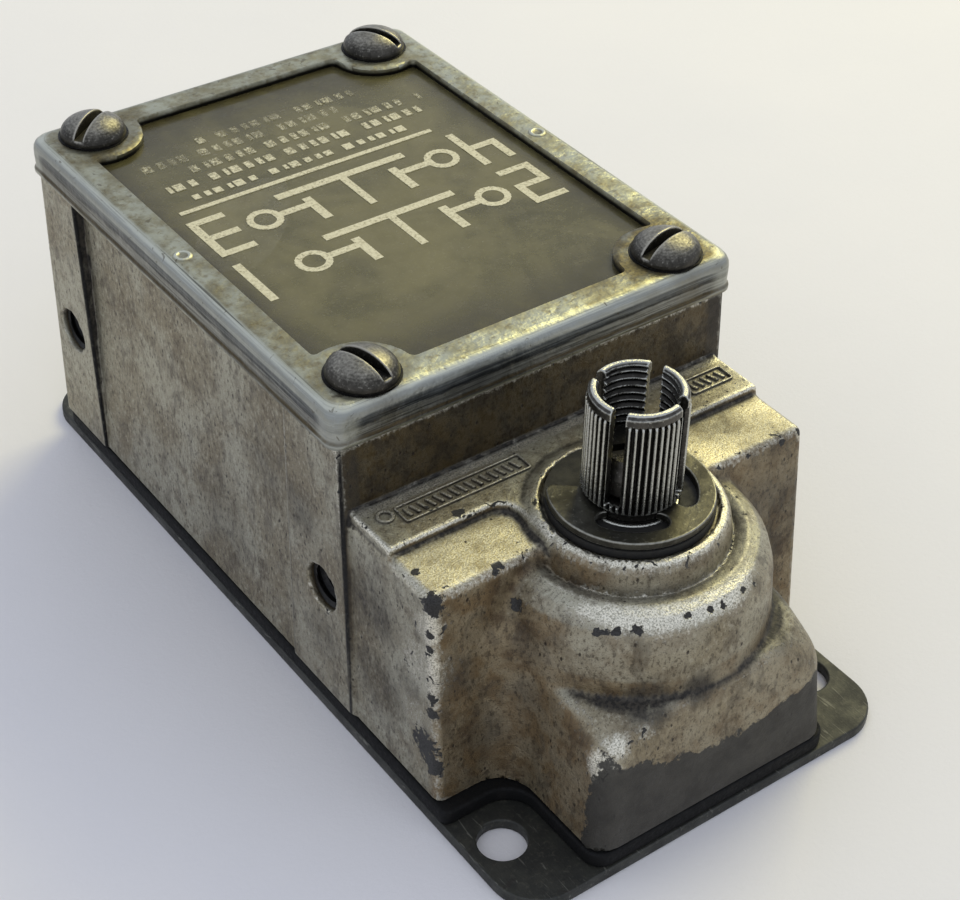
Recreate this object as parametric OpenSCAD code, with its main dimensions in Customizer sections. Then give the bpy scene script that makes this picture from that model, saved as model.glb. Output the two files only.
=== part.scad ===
// Limit switch with a rotary head: die-cast housing on a steel base plate, window cover,
// serrated lever shaft, and a slide that carries the moving contacts of the switch.
// Z is up and zero is the underside of the base plate. The shaft end points to -Y,
// the cable entry to +Y, and the width runs along X. All sizes are in millimetres.

/* [Base plate and gasket] */
// length of the base plate, along Y
plate_l = 125; // [110:0.5:140]
// width of the base plate, along X
plate_w = 60; // [54:0.5:66]
// thickness of the base plate
plate_t = 1.6; // [1:0.1:3]
// radius of the base plate's corners
plate_r = 6.5; // [2:0.5:10]
// thickness of the gasket between base plate and casting
gasket_t = 2.2; // [1:0.1:3]
// distance of the ear holes from the middle, along X
ear_x = 25.2; // [22:0.1:28]
// place of the ear holes, along Y
ear_y = -51.3; // [-56:0.1:-48]
// diameter of the ear holes
ear_d = 6.35; // [4:0.05:8]

/* [Housing] */
// top of the rear box's walls, where the cover's gasket lies
rim_z = 47.9; // [40:0.1:56]
// half width of the side pads round the side holes
pad_x = 30; // [28:0.1:31]
// half width of the box at its foot
box_x_low = 29.6; // [28:0.1:30]
// half width of the box at its top
box_x_high = 27.9; // [26:0.1:29.5]
// front wall of the box at its foot
box_front_low = -25.5; // [-28:0.1:-22]
// front wall of the box at its top
box_front_high = -23.3; // [-26:0.1:-20]
// rear wall of the box at its foot
box_back_low = 55.2; // [50:0.1:60]
// rear wall of the box at its top
box_back_high = 54.4; // [50:0.1:60]
// height of the head's lower shelves
shelf_low = 35.65; // [30:0.05:40]
// height of the head's upper shelf
shelf_high = 36.85; // [31:0.05:41]
// front edge of the upper shelf
ridge_y = -32.3; // [-36:0.1:-28]
// diameter of the four tapped side holes
side_hole_d = 6.35; // [4:0.05:8]
// depth of the side holes
side_hole_l = 12; // [8:0.5:14]
// height of the side holes
side_hole_z = 21.4; // [18:0.1:26]
// diameter of the cable entry's thread
conduit_d = 20.8; // [14:0.1:22]
// height of the cable entry
conduit_z = 27.5; // [24:0.1:32]

/* [Head and shaft] */
// place of the shaft's axis, along Y
shaft_y = -41.45; // [-45:0.05:-38]
// diameter over the shaft's teeth
shaft_d = 12.4; // [9:0.1:16]
// number of teeth round the shaft
shaft_teeth = 48; // [24:4:60]
// top of the shaft
shaft_top = 54.26; // [50:0.1:58]
// diameter of the shaft's bearing length
journal_d = 12; // [8:0.1:15]
// radius of the collar's rim
collar_r = 11.75; // [10:0.05:14]
// radius of the rounded shoulder below the collar
bulge_r = 18.4; // [15:0.1:20]
// distance of the drive pin from the shaft's axis
pin_r = 7.5; // [6:0.1:9]
// turning angle of the shaft each way
turn = 30; // [10:1:35]
// travel of the slide for one radian of the shaft
rate = 7.275; // [6:0.005:9]

/* [Cover and window] */
// half width of the cover at its lip
cover_x = 31; // [29:0.1:33]
// half length of the cover at its lip
cover_l = 39.4; // [36:0.1:42]
// middle of the cover, along Y
cover_y = 15.4; // [12:0.1:18]
// top face of the cover
cover_top = 52; // [48:0.1:56]
// lower edge of the cover's flange
cover_lip = 46.5; // [44:0.1:50]
// sheet thickness of the cover
cover_t = 1.2; // [0.8:0.1:2]
// half width of the window opening
open_x = 26.2; // [22:0.1:28]
// half length of the window opening
open_l = 34.4; // [30:0.1:37]
// radius of the cover's ears round the screws
ear_r = 6.8; // [5:0.1:9]
// half spacing of the cover screws, along X
screw_x = 23.3; // [20:0.1:26]
// half spacing of the cover screws, along Y
screw_l = 34; // [30:0.1:37]
// thickness of the window
window_t = 1.4; // [1:0.1:3]

/* [Switch] */
// middle of the contact carrier, along Y
carrier_y = 13; // [8:0.5:18]
// gap between moving and fixed contacts in the middle position
gap = 3.85; // [2:0.05:5]
// distance of the contacts from the middle, along X
tip_x = 11.5; // [9:0.5:14]

/* [Hidden] */
foot = plate_t + gasket_t;
nose_front = -62;
nose_screw_x = 12.6;
nose_screw_y = -58;
head_front_low = -43.6;
head_front_high = -41.2;
bar_low = 4.9;
bar_high = 7.4;
bar_x = 9;
travel = rate * turn * PI / 180;
glass_z = cover_top - cover_t - window_t;
block_low = 10;
block_high = 27;
well_front = -2.2;
well_back = 28.2;
screw_front = cover_y - screw_l;
screw_back = cover_y + screw_l;
e = 0.01;
$fn = 48;

// ---- small helpers

// a flat rectangle with rounded corners, from its middle
module round_rect(hx, hy, r) {
    translate([-hx + r, -hy]) square([2 * (hx - r), 2 * hy]);
    translate([-hx, -hy + r]) square([2 * hx, 2 * (hy - r)]);
    for (sx = [-1, 1], sy = [-1, 1])
        translate([sx * (hx - r), sy * (hy - r)]) circle(r);
}

// a box given by its lowest and highest corner
module block(a, b) {
    translate(a) cube([b[0] - a[0], b[1] - a[1], b[2] - a[2]]);
}

// an outline in X and Z, drawn along Y from y0 to y1
module along_y(y0, y1, pts) {
    translate([0, y1, 0]) rotate([90, 0, 0]) linear_extrude(y1 - y0) polygon(pts);
}

// an outline in Y and Z, drawn along X from -h to h
module along_x(h, pts) {
    translate([-h, 0, 0]) rotate([90, 0, 90]) linear_extrude(2 * h) polygon(pts);
}

// an upright rod
module rod(x, y, z0, z1, r) {
    translate([x, y, z0]) cylinder(r = r, h = z1 - z0);
}

// a rod along Y
module rod_y(x, z, y0, y1, r) {
    translate([x, y1, z]) rotate([90, 0, 0]) cylinder(r = r, h = y1 - y0);
}

// a rod along X
module rod_x(y, z, x0, x1, r) {
    translate([x0, y, z]) rotate([0, 90, 0]) cylinder(r = r, h = x1 - x0);
}

// the four corners of the cover screws
module at_cover_screws() {
    for (sx = [-1, 1], y = [screw_front, screw_back])
        translate([sx * screw_x, y, 0]) children();
}

// a round wire coil along Z, from 0 to len, with turns windings
module coil(len, rm, rw, turns) {
    pitch = (len - 2 * rw) / turns;
    n = 3;
    wide = 360 * rw / pitch;
    outer = [for (i = [-n : n])
        let (a = wide * i / n, t = sqrt(max(0, 1 - pow(i / n, 2))))
        [(rm + rw * t) * cos(a), (rm + rw * t) * sin(a)]];
    inner = [for (i = [n - 1 : -1 : -n + 1])
        let (a = wide * i / n, t = sqrt(max(0, 1 - pow(i / n, 2))))
        [(rm - rw * t) * cos(a), (rm - rw * t) * sin(a)]];
    translate([0, 0, rw])
        linear_extrude(len - 2 * rw, twist = -360 * turns, slices = 10 * turns)
            polygon(concat(outer, inner));
}

// ---- housing

// the rear box with its drafted walls
module box_body() {
    intersection() {
        along_y(-30, 60, [[-box_x_low, foot], [box_x_low, foot],
                          [box_x_high, 46.4], [-box_x_high, 46.4]]);
        along_x(40, [[box_front_low, foot], [box_back_low, foot],
                     [box_back_high, 46.4], [box_front_high, 46.4]]);
    }
}

// the upright pads round the side holes
module side_pads() {
    intersection() {
        union() {
            block([-pad_x, -27, foot], [pad_x, -10.8, 46.4]);
            block([-pad_x, 41.4, foot], [pad_x, 60, 46.4]);
        }
        along_x(40, [[box_front_low, foot], [box_back_low, foot],
                     [box_back_high, 46.4], [box_front_high, 46.4]]);
    }
}

// the rim that stands inside the cover's flange
module box_rim() {
    translate([0, cover_y, 46]) linear_extrude(rim_z - 46) round_rect(28.6, 37.6, 3);
}

// the lower front part that carries the shaft
module head_body() {
    intersection() {
        along_y(-50, -20, [[-29.5, foot], [29.5, foot], [29.1, shelf_low - 1.1],
                           [28.4, shelf_low], [-28.4, shelf_low],
                           [-29.1, shelf_low - 1.1]]);
        along_x(40, [[head_front_low, foot], [-20, foot], [-20, shelf_low],
                     [-39.4, shelf_low], [-40.7, shelf_low - 0.6],
                     [head_front_high, shelf_low - 1.8]]);
    }
    block([-28.8, ridge_y, shelf_low - 1], [28.8, -20, shelf_high]);
    block([-11.8, shaft_y, shelf_low - 1], [11.8, ridge_y + 1, shelf_high]);
}

// the round shoulder and collar about the shaft
module boss_body() {
    translate([0, shaft_y, 0]) rotate_extrude($fn = 96)
        polygon([[0, foot], [bulge_r + 0.4, foot], [bulge_r, 24], [bulge_r - 0.3, 29],
                 [bulge_r - 0.9, 31.3], [bulge_r - 2, 32.9], [bulge_r - 3.3, 33.5],
                 [bulge_r - 4.6, 33.5], [bulge_r - 5.5, 32.9], [collar_r + 0.85, 33.4],
                 [collar_r + 0.45, 36.6], [collar_r, 37.3], [collar_r - 0.6, 37.6],
                 [0, 37.6]]);
}

// the nose under the shoulder, square at the foot, its top corners rounded about the shaft
module nose_body() {
    intersection() {
        along_y(-70, -38, [[-18.1, foot], [18.1, foot], [16.6, 18.6], [15.6, 20.6],
                           [13.6, 21.5], [-13.6, 21.5], [-15.6, 20.6], [-16.6, 18.6]]);
        along_x(40, [[nose_front, foot], [-38, foot], [-38, 21.5], [-57.4, 21.5],
                     [-59.4, 20.7], [-60.5, 18.8]]);
        translate([0, -50, 0]) linear_extrude(30) round_rect(18.1, 12, 3);
        union() {
            rod(0, shaft_y, foot, 14, 29.8);
            translate([0, shaft_y, 14 - e]) cylinder(h = 8, r1 = 29.8, r2 = 20.6);
        }
    }
}

// the hollow corners between the head's front and the nose
module coves() {
    for (s = [-1, 1])
        difference() {
            block([s > 0 ? 17 : -22.4, -47.8, foot],
                  [s > 0 ? 22.4 : -17, -42, 27]);
            rod(s * 22.5, -47.9, foot - 1, 28, 4.4);
        }
}

module housing_outside() {
    box_body();
    side_pads();
    box_rim();
    head_body();
    boss_body();
    nose_body();
    coves();
}

// hollow of the wiring chamber and of the slide's passage
module housing_hollow() {
    block([-25.6, -12.5, 3], [25.6, 44, 49]);
    block([-16.4, -18.6, 12], [16.4, -12, 49]);
    block([-16.4, 43, 14], [16.4, 46, 49]);
    block([-bar_x - 0.06, -26, 3], [bar_x + 0.06, -12, bar_high + 0.06]);
    block([-15.6, -24.1, 3], [15.6, -14.9, 4.88]);
    block([-5, -57.5, 3], [5, -50, 10]);
    block([-13, -54.4, 3], [13, -25.4, 13]);
    rod(0, shaft_y, 3, 16, 14.2);
}

module housing() {
    color([0.62, 0.58, 0.48])
    difference() {
        union() {
            difference() {
                housing_outside();
                housing_hollow();
            }
            for (s = [-1, 1])
                block([s > 0 ? 18.5 : -26, 4, foot], [s > 0 ? 26 : -18.5, 22, block_low]);
            block([-26, 34.5, foot], [26, 37.5, 9.9]);
        }
        rod(0, shaft_y, 15, 40, 8);
        rod(0, shaft_y, 36.7, 40, 10.9);
        for (s = [-1, 1], y = [screw_front, screw_back])
            rod_x(y, side_hole_z, s > 0 ? pad_x - side_hole_l : -pad_x - 1,
                  s > 0 ? pad_x + 1 : -pad_x + side_hole_l, side_hole_d / 2);
        rod_y(0, conduit_z, 40, 60, conduit_d / 2);
        for (s = [-1, 1], y = [screw_front, screw_back])
            rod(s * screw_x, y, 32, 50, 2.45);
        for (s = [-1, 1])
            rod(s * 21.5, 13, 5, 12, 1.78);
        for (s = [-1, 1], y = [screw_front, screw_back])
            rod(s * screw_x, y, 3, 13, 1.53);
        for (s = [-1, 1])
            rod(s * nose_screw_x, nose_screw_y, 3, 13, 1.53);
        for (s = [-1, 1])
            rod(s * 12.4, -19.5, 3, 10.5, 1.28);
    }
}

// ---- base

module base_plate() {
    color([0.2, 0.2, 0.18])
    difference() {
        linear_extrude(plate_t) round_rect(plate_w / 2, plate_l / 2, plate_r);
        for (s = [-1, 1])
            rod(s * ear_x, ear_y, -1, plate_t + 1, ear_d / 2);
        base_screw_holes();
    }
}

// countersunk holes under the base plate
module base_screw_holes() {
    for (s = [-1, 1], y = [screw_front, screw_back])
        translate([s * screw_x, y, 0]) flat_hole();
    for (s = [-1, 1])
        translate([s * nose_screw_x, nose_screw_y, 0]) flat_hole();
}

module flat_hole() {
    translate([0, 0, -1]) cylinder(r = 1.6, h = 6);
    translate([0, 0, -e]) cylinder(r1 = 2.9, r2 = 1.6, h = 1.31);
}

module base_gasket() {
    color([0.06, 0.06, 0.06])
    translate([0, 0, plate_t]) linear_extrude(gasket_t)
    difference() {
        gasket_outline();
        translate([-25.6, -12.5]) square([51.2, 58.5]);
        translate([-13, -54.4]) square([26, 47]);
        translate([-5, -57.5]) square([10, 5]);
        translate([0, shaft_y]) circle(14.2);
        translate([-16, -24.6]) square([32, 14]);
        for (s = [-1, 1], y = [screw_front, screw_back])
            translate([s * screw_x, y]) circle(1.7);
        for (s = [-1, 1])
            translate([s * nose_screw_x, nose_screw_y]) circle(1.7);
    }
}

// the gasket's edge stands a little outside the casting
module gasket_outline() {
    difference() {
        union() {
            translate([0, 5.3]) round_rect(29.9, 51.3, 2.5);
            translate([0, -46.2]) round_rect(19.5, 16.2, 3.4);
            for (s = [-1, 1])
                translate([s > 0 ? 19 : -23.5, -50]) square([4.5, 6]);
        }
        for (s = [-1, 1])
            translate([s * 23.5, -50]) circle(4);
    }
}

module base_screws() {
    color([0.3, 0.3, 0.3]) {
        for (s = [-1, 1], y = [screw_front, screw_back])
            translate([s * screw_x, y, 0]) flat_screw();
        for (s = [-1, 1])
            translate([s * nose_screw_x, nose_screw_y, 0]) flat_screw();
    }
}

// a countersunk screw driven up from below
module flat_screw() {
    difference() {
        union() {
            translate([0, 0, 0.05]) cylinder(r1 = 2.8, r2 = 1.5, h = 1.25);
            translate([0, 0, 1.2]) cylinder(r = 1.5, h = 10.8);
        }
        block([-4, -0.35, -1], [4, 0.35, 0.6]);
    }
}

// ---- cover

// the frame's flange, swept round the cover's edge
module cover_sweep() {
    cx = cover_x - 2.2;
    cl = cover_l - 2.2;
    flange = [[2.2, cover_lip], [2.2, cover_lip + 0.8], [2.1, cover_lip + 1.1],
              [2.05, cover_top - 1.3], [1.8, cover_top - 0.6], [1.3, cover_top - 0.15],
              [0.7, cover_top], [0.1, cover_top], [0.1, cover_top - cover_t],
              [0.5, cover_top - cover_t], [0.7, cover_top - 1.8], [0.75, cover_lip]];
    translate([0, cover_y, 0]) {
        for (i = [[0, cx, cl], [90, -cx, cl], [180, -cx, -cl], [270, cx, -cl]])
            translate([i[1], i[2], 0]) rotate([0, 0, i[0]])
                rotate_extrude(angle = 90) polygon(flange);
        for (s = [0, 180])
            rotate([0, 0, s]) translate([cx, cl, 0]) rotate([90, 0, 0])
                linear_extrude(2 * cl) polygon(flange);
        for (s = [90, 270])
            rotate([0, 0, s]) translate([cl, cx, 0]) rotate([90, 0, 0])
                linear_extrude(2 * cx) polygon(flange);
    }
}

// the window opening, with the ears left standing in its corners
module opening_outline(grow) {
    difference() {
        round_rect(open_x + grow, open_l + grow, 1.2);
        for (sx = [-1, 1], sy = [-1, 1])
            translate([sx * screw_x, sy * screw_l]) circle(ear_r - grow);
    }
}

module cover_frame() {
    color([0.6, 0.62, 0.56])
    difference() {
        union() {
            cover_sweep();
            translate([0, cover_y, cover_top - cover_t]) linear_extrude(cover_t)
            difference() {
                round_rect(cover_x - 1.9, cover_l - 1.9, 0.3);
                opening_outline(0);
            }
        }
        at_cover_screws() rod(0, 0, cover_top - 3, cover_top + 1, 2.6);
        for (s = [-1, 1])
            translate([s * 28.35, cover_y, cover_top + 0.5]) sphere(r = 1, $fn = 24);
    }
}

module window() {
    color([0.55, 0.55, 0.35, 0.5])
    translate([0, cover_y, glass_z])
    linear_extrude(window_t)
    difference() {
        round_rect(28.6, 37, 1.6);
        for (sx = [-1, 1], sy = [-1, 1])
            translate([sx * screw_x, sy * screw_l]) circle(2.6);
    }
}

module cover_gasket() {
    color([0.05, 0.05, 0.05])
    translate([0, cover_y, rim_z])
    linear_extrude(glass_z - rim_z)
    difference() {
        round_rect(28.5, 37.2, 1.6);
        difference() {
            round_rect(24.2, 32.4, 2);
            for (sx = [-1, 1], sy = [-1, 1])
                translate([sx * screw_x, sy * screw_l]) circle(5.6);
        }
        for (sx = [-1, 1], sy = [-1, 1])
            translate([sx * screw_x, sy * screw_l]) circle(2.6);
    }
}

module cover_screws() {
    color([0.12, 0.12, 0.12]) {
        translate([-screw_x, screw_front, cover_top]) cover_screw(-77);
        translate([screw_x, screw_front, cover_top]) cover_screw(12);
        translate([-screw_x, screw_back, cover_top]) cover_screw(35);
        translate([screw_x, screw_back, cover_top]) cover_screw(-58);
    }
}

// a slotted round-head screw, its seat at zero
module cover_screw(a) {
    difference() {
        union() {
            rotate_extrude()
                polygon([[0, 0.02], [4.3, 0.02], [4.55, 0.3], [4.5, 0.9], [4.1, 1.7],
                         [3.3, 2.4], [2.2, 2.8], [1, 2.9], [0, 2.9]]);
            translate([0, 0, -18]) cylinder(r = 2.4, h = 18.5);
        }
        rotate([0, 0, a]) block([-5, -0.65, 1.1], [5, 0.65, 4]);
    }
}

// ---- head and drive

module bushing() {
    color([0.65, 0.45, 0.2])
    difference() {
        rod(0, shaft_y, 16, 34.6, 7.99);
        rod(0, shaft_y, 15, 36, journal_d / 2 + 0.04);
    }
}

module shaft_seal() {
    color([0.05, 0.05, 0.05])
    translate([0, shaft_y, 35.62]) rotate_extrude() translate([7.03, 0]) circle(0.95);
}

// the serrated outline of the shaft's end
module teeth_outline() {
    polygon([for (i = [0 : 2 * shaft_teeth - 1])
        let (r = shaft_d / 2 - (i % 2 == 0 ? 0 : 0.55), a = 180 * i / shaft_teeth)
        [r * cos(a), r * sin(a)]]);
}

module shaft() {
    color([0.25, 0.24, 0.22])
    translate([0, shaft_y, 0])
    difference() {
        union() {
            translate([0, 0, 7.9]) cylinder(r = 5, h = 9);
            translate([0, 0, 15.92]) cylinder(r = journal_d / 2, h = 22.2);
            translate([0, 0, 38]) cylinder(r = 5.3, h = 2);
            translate([0, 0, 39.25]) linear_extrude(13.15) teeth_outline();
            translate([0, 0, 52.3]) cylinder(r = 5.95, h = 1.2);
            translate([0, 0, 53.5]) cylinder(r1 = 5.95, r2 = 5.5, h = shaft_top - 53.5);
        }
        translate([0, 0, 41]) cylinder(r = 4.55, h = 20);
        translate([0, 0, 53.7]) cylinder(r1 = 4.55, r2 = 5.15, h = 0.6);
        for (i = [0 : 8])
            translate([0, 0, 44.2 + i * 1.06]) rotate_extrude()
                polygon([[4.4, -0.45], [4.95, -0.06], [4.95, 0.06], [4.4, 0.45]]);
        for (i = [0 : 3])
            rotate([0, 0, 27 + 90 * i]) block([2, -0.9, 41.4], [8, 0.9, 60]);
        translate([0, 12, 11.4]) rotate([90, 0, 0]) cylinder(r = 1.5, h = 24);
    }
}

module crank() {
    color([0.35, 0.34, 0.33])
    translate([0, shaft_y, 0])
    difference() {
        translate([0, 0, 8.9]) cylinder(r = 11, h = 7, $fn = 72);
        translate([0, 0, 8]) cylinder(r = 5, h = 9);
        translate([pin_r, 0, 8]) cylinder(r = 2, h = 6);
        translate([0, 12, 11.4]) rotate([90, 0, 0]) cylinder(r = 1.5, h = 24);
    }
}

module crank_pin() {
    color([0.5, 0.5, 0.5])
    translate([0, shaft_y + 10.4, 11.4]) rotate([90, 0, 0]) cylinder(r = 1.49, h = 20.8);
}

module drive_pin() {
    color([0.5, 0.5, 0.5])
    rod(pin_r, shaft_y, bar_low - 0.1, 13.9, 1.99);
}

module thrust_washer() {
    color([0.1, 0.1, 0.1])
    difference() {
        rod(0, shaft_y, 36.95, 38.05, 10.45);
        rod(0, shaft_y, 36, 39, journal_d / 2 + 0.02);
    }
}

// the clip's outline: a ring with a mouth, three prongs and the hollows between them
module ring_outline() {
    difference() {
        circle(10.3);
        circle(5.32);
        rotate([0, 0, 104]) polygon([[0, 0], [14, -10.6], [14, 10.6]]);
        for (a = [-127, -25])
            rotate([0, 0, a]) intersection() {
                difference() {
                    circle(7.9);
                    circle(3);
                }
                polygon([[0, 0], [12, -7.4], [12, 7.4]]);
            }
    }
}

module retaining_ring() {
    color([0.2, 0.2, 0.18])
    translate([0, shaft_y, 38.13]) linear_extrude(1.05) ring_outline();
}

module lock_plug() {
    color([0.35, 0.35, 0.33])
    translate([0, shaft_y, 0])
    difference() {
        union() {
            translate([0, 0, 41.05]) cylinder(r = 4.5, h = 2.2);
            translate([0, 0, 43.2]) cylinder(r1 = 4.5, r2 = 3.8, h = 2.6);
        }
        rotate([0, 0, -20]) block([-5, -0.6, 44.4], [5, 0.6, 47]);
    }
}

// ---- slide

module slide_bar() {
    color([0.45, 0.45, 0.44]) {
        difference() {
            union() {
                block([-12.4, -50, bar_low], [12.4, -33, bar_high]);
                block([-bar_x, -34, bar_low], [bar_x, 27, bar_high]);
                rod_y(0, 6.15, -52, -49, 1.1);
                rod_y(0, 6.15, 26, 29, 1.1);
            }
            block([4.2, shaft_y - 2.1, 4], [9.9, shaft_y + 2.1, 9]);
            for (y = [carrier_y - 5.5, carrier_y + 5.5])
                rod(0, y, 4, 9, 1.25);
        }
    }
}

module guide_plate() {
    color([0.65, 0.52, 0.25])
    difference() {
        block([-15.5, -24, foot + 0.05], [15.5, -15, bar_low - 0.05]);
        for (s = [-1, 1])
            rod(s * 12.4, -19.5, 3, 6, 1.4);
    }
}

module guide_screws() {
    color([0.4, 0.4, 0.4])
    for (s = [-1, 1])
        difference() {
            union() {
                rod(s * 12.4, -19.5, foot - 0.2, 10, 1.25);
                rod(s * 12.4, -19.5, 2.3, foot + 0.04, 2.4);
            }
            block([s * 12.4 - 3, -19.8, 2], [s * 12.4 + 3, -19.2, 2.9]);
        }
}

module front_spring() {
    color([0.7, 0.7, 0.72])
    translate([0, -57.48, 6.15]) rotate([-90, 0, 0]) coil(7.46, 1.9, 0.3, 4);
}

module rear_spring() {
    color([0.7, 0.7, 0.72])
    translate([0, 27.02, 6.15]) rotate([-90, 0, 0]) coil(7.46, 1.9, 0.3, 4);
}

module contact_carrier() {
    color([0.28, 0.12, 0.07])
    difference() {
        block([-5.5, carrier_y - 11, bar_high], [5.5, carrier_y + 11, 21]);
        block([-6, carrier_y - 8, 11], [6, carrier_y + 8, 17]);
        for (y = [carrier_y - 5.5, carrier_y + 5.5])
            rod(0, y, 7, 12, 1.25);
    }
}

module carrier_rivets() {
    color([0.7, 0.55, 0.25])
    for (y = [carrier_y - 5.5, carrier_y + 5.5]) {
        rod(0, y, bar_low, 11.2, 1.24);
        rod(0, y, 11.01, 11.4, 1.9);
    }
}

// a bridging strip that joins the left and right contacts
module bridge(y0) {
    color([0.72, 0.5, 0.25])
    block([-tip_x - 3, y0, 11.6], [tip_x + 3, y0 + 0.8, 16.4]);
}

module bridge_front() {
    bridge(carrier_y - 7.98);
}

module bridge_rear() {
    bridge(carrier_y + 7.18);
}

// a moving contact; y0 is its back and y1 its face
module tip(x, y0, y1) {
    color([0.8, 0.8, 0.78]) rod_y(x, 14, y0, y1, 2);
}

module moving_tip_1() {
    tip(-tip_x, carrier_y - 9.18, carrier_y - 7.99);
}

module moving_tip_2() {
    tip(tip_x, carrier_y - 9.18, carrier_y - 7.99);
}

module moving_tip_3() {
    tip(-tip_x, carrier_y + 7.99, carrier_y + 9.18);
}

module moving_tip_4() {
    tip(tip_x, carrier_y + 7.99, carrier_y + 9.18);
}

module contact_spring() {
    color([0.7, 0.7, 0.72])
    translate([0, carrier_y - 7.14, 14]) rotate([-90, 0, 0]) coil(14.28, 2, 0.3, 7);
}

// ---- fixed contacts

module contact_block() {
    color([0.2, 0.09, 0.06])
    difference() {
        block([-24.8, -12, block_low + 0.02], [24.8, 38, block_high]);
        block([-18, well_front, 9], [18, well_back, 28]);
        for (s = [-1, 1])
            rod(s * 21.5, 13, 9, 28, 1.85);
        for (s = [-1, 1], y = [-7.2, 33.2])
            rod(s * tip_x, y, 16, 28, 1.98);
    }
}

module block_screws() {
    color([0.55, 0.55, 0.52])
    for (s = [-1, 1])
        difference() {
            union() {
                rod(s * 21.5, 13, 5.2, block_high + 0.1, 1.75);
                rod(s * 21.5, 13, block_high + 0.01, block_high + 2.2, 3.2);
            }
            block([s * 21.5 - 4, 12.6, block_high + 1.2], [s * 21.5 + 4, 13.4, 32]);
        }
}

// an angled strip from the fixed contact up to the terminal
module strip(sx, front) {
    x0 = sx * tip_x - 4;
    x1 = sx * tip_x + 4;
    y0 = front ? well_front + 0.01 : well_back - 1.01;
    color([0.72, 0.56, 0.22])
    difference() {
        union() {
            block([x0, y0, 10.6], [x1, y0 + 1, block_high + 1.01]);
            if (front)
                block([x0, -11.6, block_high + 0.01], [x1, y0 + 1, block_high + 1.01]);
            else
                block([x0, y0, block_high + 0.01], [x1, 37.6, block_high + 1.01]);
        }
        rod(sx * tip_x, front ? -7.2 : 33.2, 26, 30, 2.05);
    }
}

module terminal_1() {
    strip(-1, true);
}

module terminal_2() {
    strip(1, true);
}

module terminal_3() {
    strip(-1, false);
}

module terminal_4() {
    strip(1, false);
}

module fixed_tip_1() {
    tip(-tip_x, well_front + 1.02, carrier_y - 9.18 - gap);
}

module fixed_tip_2() {
    tip(tip_x, well_front + 1.02, carrier_y - 9.18 - gap);
}

module fixed_tip_3() {
    tip(-tip_x, carrier_y + 9.18 + gap, well_back - 1.02);
}

module fixed_tip_4() {
    tip(tip_x, carrier_y + 9.18 + gap, well_back - 1.02);
}

module terminal_screws() {
    color([0.75, 0.6, 0.3])
    for (s = [-1, 1], y = [-7.2, 33.2])
        difference() {
            union() {
                rod(s * tip_x, y, 17, 30, 1.95);
                rod(s * tip_x, y, 29.25, 31.6, 3.6);
            }
            block([s * tip_x - 4, y - 0.5, 30.4], [s * tip_x + 4, y + 0.5, 33]);
        }
}

module terminal_clamps() {
    color([0.7, 0.7, 0.68])
    for (s = [-1, 1], y = [-7.2, 33.2])
        difference() {
            block([s * tip_x - 3.8, y - 3.8, block_high + 1.03],
                  [s * tip_x + 3.8, y + 3.8, 29.24]);
            rod(s * tip_x, y, 26, 31, 2.05);
        }
}

housing();
base_plate();
base_gasket();
base_screws();
cover_frame();
window();
cover_gasket();
cover_screws();
bushing();
shaft_seal();
shaft();
crank();
crank_pin();
drive_pin();
thrust_washer();
retaining_ring();
lock_plug();
slide_bar();
guide_plate();
guide_screws();
front_spring();
rear_spring();
contact_carrier();
carrier_rivets();
bridge_front();
bridge_rear();
moving_tip_1();
moving_tip_2();
moving_tip_3();
moving_tip_4();
contact_spring();
contact_block();
block_screws();
terminal_1();
terminal_2();
terminal_3();
terminal_4();
fixed_tip_1();
fixed_tip_2();
fixed_tip_3();
fixed_tip_4();
terminal_screws();
terminal_clamps();
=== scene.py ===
from functools import partialmethod
from math import atan2, cos, hypot, pi, radians, sin

import bpy
import numpy as np
from numpy import maximum, minimum
from mathutils import Matrix, Vector


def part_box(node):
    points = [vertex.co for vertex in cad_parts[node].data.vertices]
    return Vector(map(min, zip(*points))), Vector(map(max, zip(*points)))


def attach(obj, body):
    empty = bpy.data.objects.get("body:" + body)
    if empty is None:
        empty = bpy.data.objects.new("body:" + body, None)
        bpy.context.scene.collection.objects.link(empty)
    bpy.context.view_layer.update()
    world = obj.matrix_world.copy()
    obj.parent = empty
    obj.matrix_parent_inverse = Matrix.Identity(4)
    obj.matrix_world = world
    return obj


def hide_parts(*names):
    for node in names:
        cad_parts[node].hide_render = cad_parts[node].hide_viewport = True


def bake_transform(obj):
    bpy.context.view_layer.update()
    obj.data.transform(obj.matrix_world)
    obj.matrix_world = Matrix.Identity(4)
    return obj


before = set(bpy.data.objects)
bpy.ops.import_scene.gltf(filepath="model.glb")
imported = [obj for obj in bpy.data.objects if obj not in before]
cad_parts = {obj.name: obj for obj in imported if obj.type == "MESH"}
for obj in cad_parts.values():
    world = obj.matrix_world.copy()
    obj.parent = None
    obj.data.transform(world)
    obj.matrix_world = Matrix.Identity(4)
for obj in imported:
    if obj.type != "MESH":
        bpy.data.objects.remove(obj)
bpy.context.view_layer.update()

MM = 0.001
F32 = np.float32


def low(node, axis):
    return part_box(node)[0][axis] / MM


def high(node, axis):
    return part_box(node)[1][axis] / MM


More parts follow.
